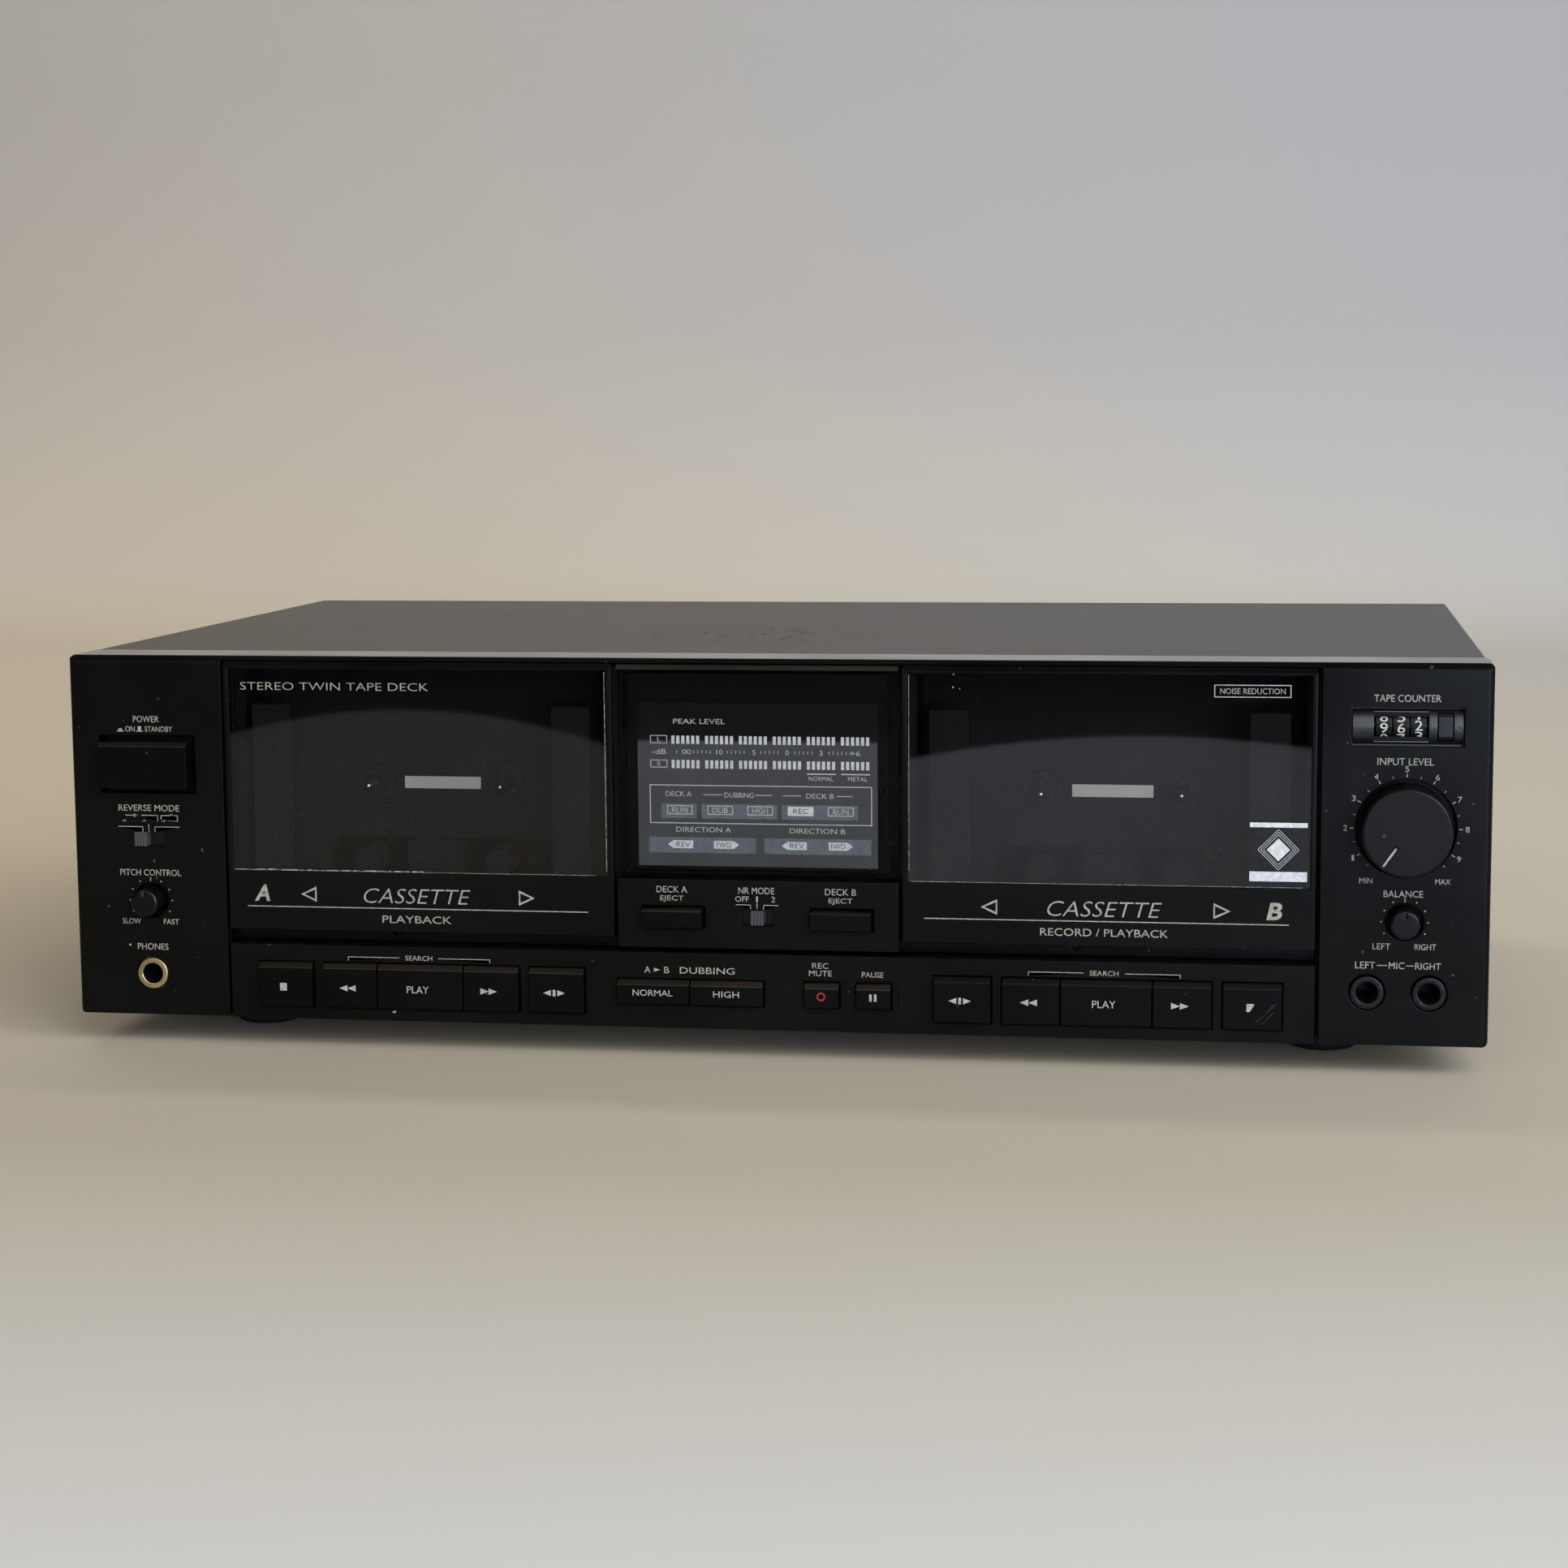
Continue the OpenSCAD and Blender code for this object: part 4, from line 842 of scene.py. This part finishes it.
left_words = [
    ("POWER", 0.2, 93.5, 8.4, 2), ("ON", -5.1, 90.4, 3.1, 1.7), ("STANDBY", 4.2, 90.4, 8.9, 1.7),
    ("REVERSE MODE", 0.2, 65.6, 19.8, 2), ("PITCH CONTROL", 0.1, 45.2, 19.9, 2), ("SLOW", -6.6, 29.7, 6, 1.7),
    ("FAST", 6.4, 29.7, 5, 1.7), ("PHONES", 0.1, 21.7, 10.1, 2),
]
left_marks = dial_dots(middle("pitch_knob")[1], 6.9) + reverse_marks(0.3, 62.3, 5.3, 1.9)
left_marks += slot_bracket(middle("reverse_switch")[1] + 3.9, 10, 2, 1.6) + [round_line(-7.4, 22.1, 0.35, 12)]
for sign_x, sign_h in ((-8.3, 0.7), (-2, 1.4)):
    left_marks += [line_x(sign_x - 1.15, sign_x + 1.15, 89.7, 0.3),
                   box_line(sign_x - 0.55, 89.85, sign_x + 0.55, 89.85 + sign_h)]
printed("left_legends", "casing", panel_face, cream_ink, left_words, left_marks,
        shift=(middle("power_button")[0], 0))

scale_in, scale_out, number_r = 15.2, 16.4, 17.6
right_words = [
    ("TAPE COUNTER", -0.2, 103.1, 19.2, 2.1), ("INPUT LEVEL", -0.5, 84.5, 16.2, 2.1),
    ("MIN", -11.4, 49.2, 3.8, 1.6), ("MAX", 10.8, 49.2, 4.4, 1.6), ("BALANCE", -0.5, 45.4, 11.4, 2),
    ("LEFT", -6.6, 29.7, 5.1, 1.8), ("RIGHT", 6.1, 29.7, 6.2, 1.8), ("LEFT", -11.2, 24, 5.8, 2),
    ("MIC", -2.1, 24, 4.5, 2), ("RIGHT", 7, 24, 7.4, 2),
]
right_marks = dial_dots(middle("balance_knob")[1], 6.8) + [line_x(-7.8, -4.9, 24), line_x(0.6, 2.9, 24)]
for number in range(1, 10):
    turn = math.radians(30 * (number - 5))
    right_words.append((str(number), number_r * math.sin(turn), level_z + number_r * math.cos(turn),
                        0.7 if number == 1 else 1.15, 1.7))
for tick in range(-9, 10):
    longer = 0.35 if tick % 2 == 0 else 0
    mark = line_z(0, level_z + scale_in, level_z + scale_out - 0.5 + longer, 0.16 + longer / 3)
    right_marks.append(turned(mark, 0, level_z, 15 * tick))
printed("right_legends", "casing", panel_face, cream_ink, right_words, right_marks, shift=(level_x, 0))

middle_words = [("NR MODE", -0.2, 43, 11, 2), ("OFF", -4.6, 40.4, 4.2, 1.7), ("1", 0, 40.4, 0.6, 1.7),
                ("2", 5, 40.4, 1.2, 1.7)]
for deck, eject_x in (("A", -26.3), ("B", 25.6)):
    middle_words += [("DECK " + deck, eject_x, 43, 9.5, 2), ("EJECT", eject_x, 40.1, 7.3, 2)]
printed("middle_legends", "casing", span("centre_panel")[0].y, cream_ink, middle_words,
        slot_bracket(middle("noise_switch")[1] + 4, 6.5, 2, 1.3))

strip_face = span("control_strip")[0].y
strip_words = [("DUBBING", -15.6, 18, 17, 2), ("A", -34.2, 18, 1.9, 2), ("B", -28.2, 18, 1.6, 2),
               ("REC", 19.3, 20.3, 5, 1.7), ("MUTE", 19.3, 18, 7, 1.7), ("PAUSE", 35.3, 17.9, 6.6, 1.7)]
strip_marks = [arrow_head(-32.2, 18, 2, 1.2)]
for deck in decks:
    scan_x = middle(f"play_key_{deck}")[0] - 0.7
    strip_words.append(("SEARCH", scan_x, 19.9, 8.6, 1.5))
    for arm in (-1, 1):
        near, far = sorted((scan_x + arm * 6.2, scan_x + arm * 22.6))
        strip_marks += [line_x(near, far, 19.9), line_z(scan_x + arm * 22.6, 18.8, 20)]
printed("strip_legends", "casing", strip_face, cream_ink, strip_words, strip_marks)

# Signs on the keys, round the middle of each one
apart = [box_line(-0.42, -1, 0.42, 1), arrow_head(1, 0, 2.4, 1.9), arrow_head(-1, 0, -2.4, 1.9)]
stop_box = box_line(-1.1, -1.2, 1.1, 1.2)
worn_box = [(-1.1, -1.2), (-0.2, -1.2), (1.1, 0.7), (1.1, 1.2), (-1.1, 1.2)]
sign_z = {"a": 10.4, "b": 10.9}
for deck in decks:
    face = span(f"play_key_{deck}")[0].y
    for kind, words, shapes in (
            ("stop", (), [worn_box if deck == "b" else stop_box]),
            ("rewind", (), [arrow_head(2.6, 0, -2.6, 2), arrow_head(0, 0, -2.6, 2)]),
            ("forward", (), [arrow_head(-2.6, 0, 2.6, 2), arrow_head(0, 0, 2.6, 2)]),
            ("direction", (), apart),
            ("play", [("PLAY", 0, 0, 7, 2.2)], ())):
        node = f"{kind}_key_{deck}"
        seat = (middle(node)[0] - 0.6, sign_z[deck])
        printed(node + ".sign", node, face, key_ink, words, shapes, shift=seat)

for node, ink, words, shapes in (
        ("dub_normal_key", key_ink, [("NORMAL", 0, 0, 12.4, 1.9)], ()),
        ("dub_high_key", key_ink, [("HIGH", 0, 0, 8, 1.9)], ()),
        ("pause_key", key_ink, (), [box_line(-1.1, -1.1, -0.35, 1.1), box_line(0.35, -1.1, 1.1, 1.1)]),
        ("record_key", red_ink, (), [round_line(0, 0, 1.35), round_line(0, 0, 0.85)])):
    printed(node + ".sign", node, span("pause_key")[0].y, ink, words, shapes, shift=middle(node))


# Legends on the doors: a band below the window and words along the window's top
def hollow_arrow(x, z, w, h, t=0.45):
    """A triangle drawn in outline, its tip at x + w."""
    inset = math.copysign(t, w)
    return [arrow_head(x, z, w, h), arrow_head(x + inset, z, w - 3.4 * inset, h - 4 * t)]


door_face = span("door_a_frame")[0].y
door_texts = {
    "a": dict(letter=("A", -156.2, 39.6, 5, 5.2, 0.2, 0.03), name=-106.5, arrows=(-138.7, -74.2),
              caption=("PLAYBACK", -106.7, 32, 22, 2.3), rule=(-161, -52.5, 35.4)),
    "b": dict(letter=("B", 155, 39.6, 4.6, 5.2, 0.2, 0.03), name=105, arrows=(73, 137.2),
              caption=("RECORD / PLAYBACK", 104.9, 32.2, 38, 2.3), rule=(51, 159.3, 35.6)),
}
for deck, text in door_texts.items():
    words = [text["letter"], ("CASSETTE", text["name"], 39.3, 34, 4.6, 0.25, -0.012), text["caption"]]
    marks = [line_x(*text["rule"], 0.3)]
    for arrow_x, way in zip(text["arrows"], (-1, 1)):
        marks += hollow_arrow(arrow_x, 39.4, way * 5, 4.8)
    printed(f"door_{deck}_legends", f"door_{deck}", door_face, cream_ink, words, marks)

pane_face = span("door_a_window")[0].y
title = ("STEREO TWIN TAPE DECK", -131.5, 104.2, 60, 2.4, 0, -0.012)
printed("door_a_title", "door_a", pane_face, cream_ink, [title], lean=pane_lean("a"))
printed("door_b_title", "door_b", pane_face, cream_ink, [("NOISE REDUCTION", 148, 104.9, 19, 1.7)],
        frame_lines(136.8, 103, 159.2, 106.8, 0.3), pane_lean("b"))

# A plain label on the second window: pale bands above and below a dark field with diamonds
label_x0, label_x1, label_z0, label_z1 = 147.6, 164.4, 48.6, 66.1
label_dark = screen_ink("label_printed_black", "#141414", "#1e1e1e", 0.4)
label_pale = screen_ink("label_coated_paper", "#b5b5b3", "#cbcbc9", 0.35)
printed("label_field", "door_b", pane_face, label_dark, lean=pane_lean("b"),
        shapes=[box_line(label_x0, label_z0, label_x1, label_z1)])
bands = ((label_z0, label_z0 + 2.9), (label_z1 - 1.4, label_z1))
rules = [box_line(label_x0, z0, label_x1, z1) for z0, z1 in bands]
label_mid = ((label_x0 + label_x1) / 2, (label_z0 + label_z1) / 2 + 0.7)
for half, line in ((3.4, 0), (4.5, 0.16), (5.3, 0.16), (6.1, 0.16)):
    rules.append(round_line(*label_mid, half, 4))
    if line:
        rules.append(round_line(*label_mid, half - line, 4))
printed("label_bands", "door_b", pane_face - ink_t, label_pale, lean=pane_lean("b"), shapes=rules)

# Display artwork: a field, grey below a soft edge as a painted reflection of the room, with bars and lamps,
# in layers of ink on the plate
reflection_field_ink = display_film()
lamp_ink = screen_ink("ink_display_blue_grey", "#505356", "#5a5d60")
bar_ink = screen_ink("ink_display_white", "#a8a8a3", "#bababa")
caption_ink = screen_ink("ink_display_pale_grey", "#95938e", "#a6a49f")
tag_ink = screen_ink("ink_display_slate", "#3f4548", "#4a5154")
plate_face = span("display_plate")[0].y
art_shift = (-0.4, -0.35)
caption_h = 1.55
scale_z, first_tick, tick_pitch = 85.2, -24.5, 1.3
lamp_half, lamp_low, lamp_high = 3.95, 66, 68.8
bar_w, bar_pitch, group_pitch, first_bar = 0.95, 1.53, 10.4, -26.1
row_l, row_r, row_h = 88.85, 81.4, 2.5
bars = []
for group in range(6):
    for bar in range(6):
        x0 = first_bar + group * group_pitch + bar * bar_pitch
        bars += [box_line(x0, row - row_h / 2, x0 + bar_w, row + row_h / 2) for row in (row_l, row_r)]
for x0, x1 in ((15.5, 24.3), (26, 34.7)):
    bars.append(box_line(x0, 78.65, x1, 78.95))

lamps = [box_line(x0, 64.8, x1, 69.3) for x0, x1 in ((-29.4, -18.5), (-17, 6.3), (7.7, 31))]
lamps += [box_line(x0, 54.2, x1, 59) for x0, x1 in ((-33.4, -0.3), (2.2, 35))]

lamp_words = [("RUN", -23.75), ("DUB", -11.25), ("HIGH", 1.05), ("REC", 13.5), ("RUN", 25.75)]
legends = [
    ("PEAK LEVEL", -17.5, 94.5, 16, caption_h), ("L", -30, 89, 0.9, 1.4), ("R", -30, 81.5, 1, 1.4),
    ("NORMAL", 19.8, 77.4, 7.4, 1.3), ("METAL", 31, 77.4, 6, 1.3), ("DECK A", -24, 72.3, 8, caption_h),
    ("DUBBING", -5.4, 72.1, 9, caption_h), ("DECK B", 19.4, 72.1, 8.4, caption_h),
    ("DIRECTION A", -16.4, 61.4, 17, caption_h), ("DIRECTION B", 18.6, 61.4, 17, caption_h),
]
scale_words = [("-dB", -30, 4.4), ("10", -11.3, 1.9), ("5", -0.7, 1),
               ("0", 9.5, 1.1), ("3", 19.8, 1), ("+6", 30.3, 2.9)]
legends += [(text, x, scale_z, w, caption_h) for text, x, w in scale_words]
legends += [(text, x, 67.35, 4.8, 1.6) for text, x in lamp_words if text != "REC"]

frames = frame_lines(-33, 63.2, 35.3, 75.1, 0.3)
for low, high in ((87.7, 90.2), (80.3, 82.7)):
    frames += frame_lines(-32.7, low, -27.4, high)
for text, x in lamp_words:
    if text != "REC":
        frames += frame_lines(x - lamp_half, lamp_low, x + lamp_half, lamp_high, 0.28)
for x0, x1 in ((-16.4, -10.5), (-0.4, 4.7), (8, 13.6), (24.6, 29.4)):
    frames.append(box_line(x0, 72, x1, 72.24))
for n in range(42):
    x = first_tick + n * tick_pitch
    if all(abs(x - mark) > 1.9 for mark in (-21.5, -11.3, -0.7, 9.5, 19.8)):
        frames.append(box_line(x - 0.1, scale_z - 0.5, x + 0.1, scale_z + 0.5))
for x in (-22.2, -20.8):
    frames += [round_line(x, scale_z, r) for r in (0.7, 0.46)]

tags = [box_line(13.5 - lamp_half, lamp_low, 13.5 + lamp_half, lamp_high)]
tag_words = [("REC", 13.5, 67.4, 4.6, 1.6)]
tag_low, tag_high, tag_tip = 55.6, 58, 1.7
for text, flat, nose in (("REV", -19.7, -27.5), ("FWD", -13.3, -5.5), ("REV", 15.3, 7.6), ("FWD", 22, 29.5)):
    neck = nose - math.copysign(tag_tip, nose - flat)
    tags.append([(flat, tag_low), (neck, tag_low), (nose, (tag_low + tag_high) / 2),
                 (neck, tag_high), (flat, tag_high)])
    tag_words.append((text, (flat + neck) / 2, 56.8, 4.4, 1.5))

for layer, name, ink, words, shapes in (
        (0, "display_field", reflection_field_ink, (), [box_line(-36.6, 50.2, 37, 100)]),
        (1, "display_lamps", lamp_ink, (), lamps),
        (1, "display_bars", bar_ink, (), bars),
        (2, "display_legends", caption_ink, legends, frames),
        (2, "display_tags", bar_ink, (), tags),
        (3, "display_tag_words", tag_ink, tag_words, ())):
    printed(name, "casing", plate_face - layer * ink_t, ink, words, shapes, shift=art_shift)

# Reel spindles: a ground steel pin ends each one in a small dome
tip_r = 0.85
for node in spindles:
    tip_x, tip_z = middle(node)
    seat = place(tip_x, span(node)[0].y, tip_z)
    bpy.ops.mesh.primitive_uv_sphere_add(segments=20, ring_count=10, radius=tip_r * MM, location=seat)
    dome = bpy.context.object
    dome.name = node + ".tip"
    bpy.ops.object.mode_set(mode="EDIT")
    bpy.ops.mesh.select_all(action="SELECT")
    bpy.ops.mesh.bisect(plane_co=seat, plane_no=(0, 1, 0), use_fill=True, clear_outer=True)
    bpy.ops.object.mode_set(mode="OBJECT")
    bpy.ops.object.shade_smooth_by_angle(angle=math.radians(40))
    settle(dome, body_of[node], bright_steel)

# Tape counter: pale edges above and below the opening over the number wheels, painted highlights of its lips,
# and dark masks inside it
counter_x, counter_z = middle("counter_tens")
open_half, open_half_h, edge_w = 7.9, 4.32, 0.2
for name, low, high, front, back, edge, material in (
        ("counter_edge_top", open_half_h, open_half_h + edge_w, 1.75, 2.05, 0.05, edge_abs),
        ("counter_edge_low", -open_half_h - edge_w, -open_half_h, 1.75, 2.05, 0.05, edge_abs),
        ("counter_mask_top", 2.85, open_half_h, 2, 2.35, 0.1, hub_abs),
        ("counter_mask_low", -open_half_h, -2.95, 2, 2.35, 0.1, hub_abs)):
    slab(name, (counter_x - open_half, front, counter_z + low),
         (counter_x + open_half, back, counter_z + high), edge, material)

# Painted highlights on the windows' edges, and wear: dust, a nick in the control strip and scratches on a key
# Pale ink for the painted highlights on the windows' bevelled edges
edge_highlight_ink = screen_ink("abs_pale_painted_edge_highlight", "#57544d", "#a19c91", 0.5)
scratch_ink = screen_ink("abs_scratched_grey", "#2a2a2b", "#3d3d3e", 0.4)
draw = random.Random(7)
edge_highlights = []
# Broken pale strokes along window A's foot, then lines along its foot and right edge: painted highlights
glint_x, glint_end, glint_z = -164.9, -104, 46.95
while glint_x < glint_end:
    glint_l = draw.uniform(0.6, 5.5)
    edge_highlights.append(line_x(glint_x, glint_x + glint_l, glint_z + draw.uniform(-0.05, 0.1), draw.uniform(0.12, 0.36)))
    glint_x += glint_l + draw.uniform(0.1, 1.6)
edge_highlights += [line_x(-164, -50, 46.8, 0.1), line_z(-46.45, 48, 109, 0.14), line_z(-46.5, 76, 84, 0.26),
         line_z(-46.5, 100, 109.2, 0.26)]
printed("door_a_edge_highlights", "door_a", pane_face, edge_highlight_ink, shapes=edge_highlights, lean=pane_lean("a"))
dust = ((59.9, 109.3, 0.22), (59.7, 105.4, 0.24), (61.7, 105, 0.16))
specks = [round_line(x, z, r, 10) for x, z, r in dust]
# Lines along window B's foot and left edge: painted highlights; the specks above are dust
specks += [line_x(47, 163, 46.8, 0.1), line_z(46.45, 50, 109, 0.12)]
printed("door_b_dust_and_edge_highlights", "door_b", pane_face, edge_highlight_ink, shapes=specks, lean=pane_lean("b"))
nick = [(-115.3, 2.55), (-114.2, 2.5), (-113.9, 3.1), (-114.9, 3.25)]
printed("strip_wear", "casing", strip_face, cream_ink, shapes=[nick])
strokes = ((1.4, -4.3, 8.2, 45), (2.6, -5.2, 5.6, 47), (0.4, -5, 3.6, 40), (3.6, -2.2, 4.2, 52))
scratches = [turned(line_x(x, x + length, z, 0.11), x, z, -turn) for x, z, length, turn in strokes]
printed("stop_key_b.wear", "stop_key_b", span("stop_key_b")[0].y, scratch_ink, shapes=scratches,
        shift=middle("stop_key_b"))

# Sides: cross-headed screws, with a thin near-black cross on each head as painted shade in its recess
softened("cover_screws", 0.3, black_steel, 3)
screw_lo, screw_hi = span("cover_screws")
# The crosses are flat and near-black: painted shade standing for the recesses
head_r, cross_l, cross_w, cross_t = 4, 4.6, 0.9, 0.06
cross_shades = []
for side in (-1, 1):
    for screw_y in (screw_lo.y + head_r, screw_hi.y - head_r):
        for cross_size in ((cross_t, cross_l, cross_w), (cross_t, cross_w, cross_l)):
            seat = Vector((side * screw_hi.x, screw_y, (screw_lo.z + screw_hi.z) / 2))
            half = Vector(cross_size) / 2
            cross_shades.append(block(seat - half, seat + half))
pick(*cross_shades)
bpy.ops.object.join()
recess_shades = bpy.context.object
recess_shades.name = "screw_recess_painted_shade"
settle(rounded(recess_shades, 0.02), body_of["cover_screws"], hub_abs)

# Back: phono sockets with nickel barrels and coloured rings, and their legends
sockets = softened("rear_jacks", 0.25, black_abs, 3)
socket_end = span("rear_jacks")[1].y
barrel_l, half_pitch, ring_r, ring_t, ring_flat = 8, 8.5, 2.9, 0.5, 0.7
socket_x, socket_z = middle("rear_jacks")
coated(sockets, bright_steel, lambda at, n: at.y > socket_end - barrel_l + 0.3)
for col, side, ring_abs in ((-1, "right", red_abs), (1, "left", white_abs)):
    for row, way in ((-1, "out"), (1, "in")):
        bpy.ops.mesh.primitive_torus_add(
            major_radius=ring_r * MM, minor_radius=ring_t * MM, major_segments=32, minor_segments=10,
            rotation=(math.pi / 2, 0, 0),
            location=place(socket_x + col * half_pitch, socket_end, socket_z + row * half_pitch))
        ring = bpy.context.object
        ring.name = f"phono_ring_{side}_{way}"
        ring.data.transform(Matrix.Diagonal((1, 1, ring_flat, 1)))
        bpy.ops.object.shade_smooth()
        settle(ring, body_of["rear_jacks"], ring_abs)

rear_words = [("LINE IN", -30, half_pitch, 13, 2.4), ("LINE OUT", -31, -half_pitch, 15.5, 2.4),
              ("L", -half_pitch, 23, 1.7, 2.6), ("R", half_pitch, 23, 1.9, 2.6)]
printed("rear_legends", "casing", span("rear_panel")[1].y, cream_ink, rear_words, behind=True,
        shift=(socket_x, socket_z))
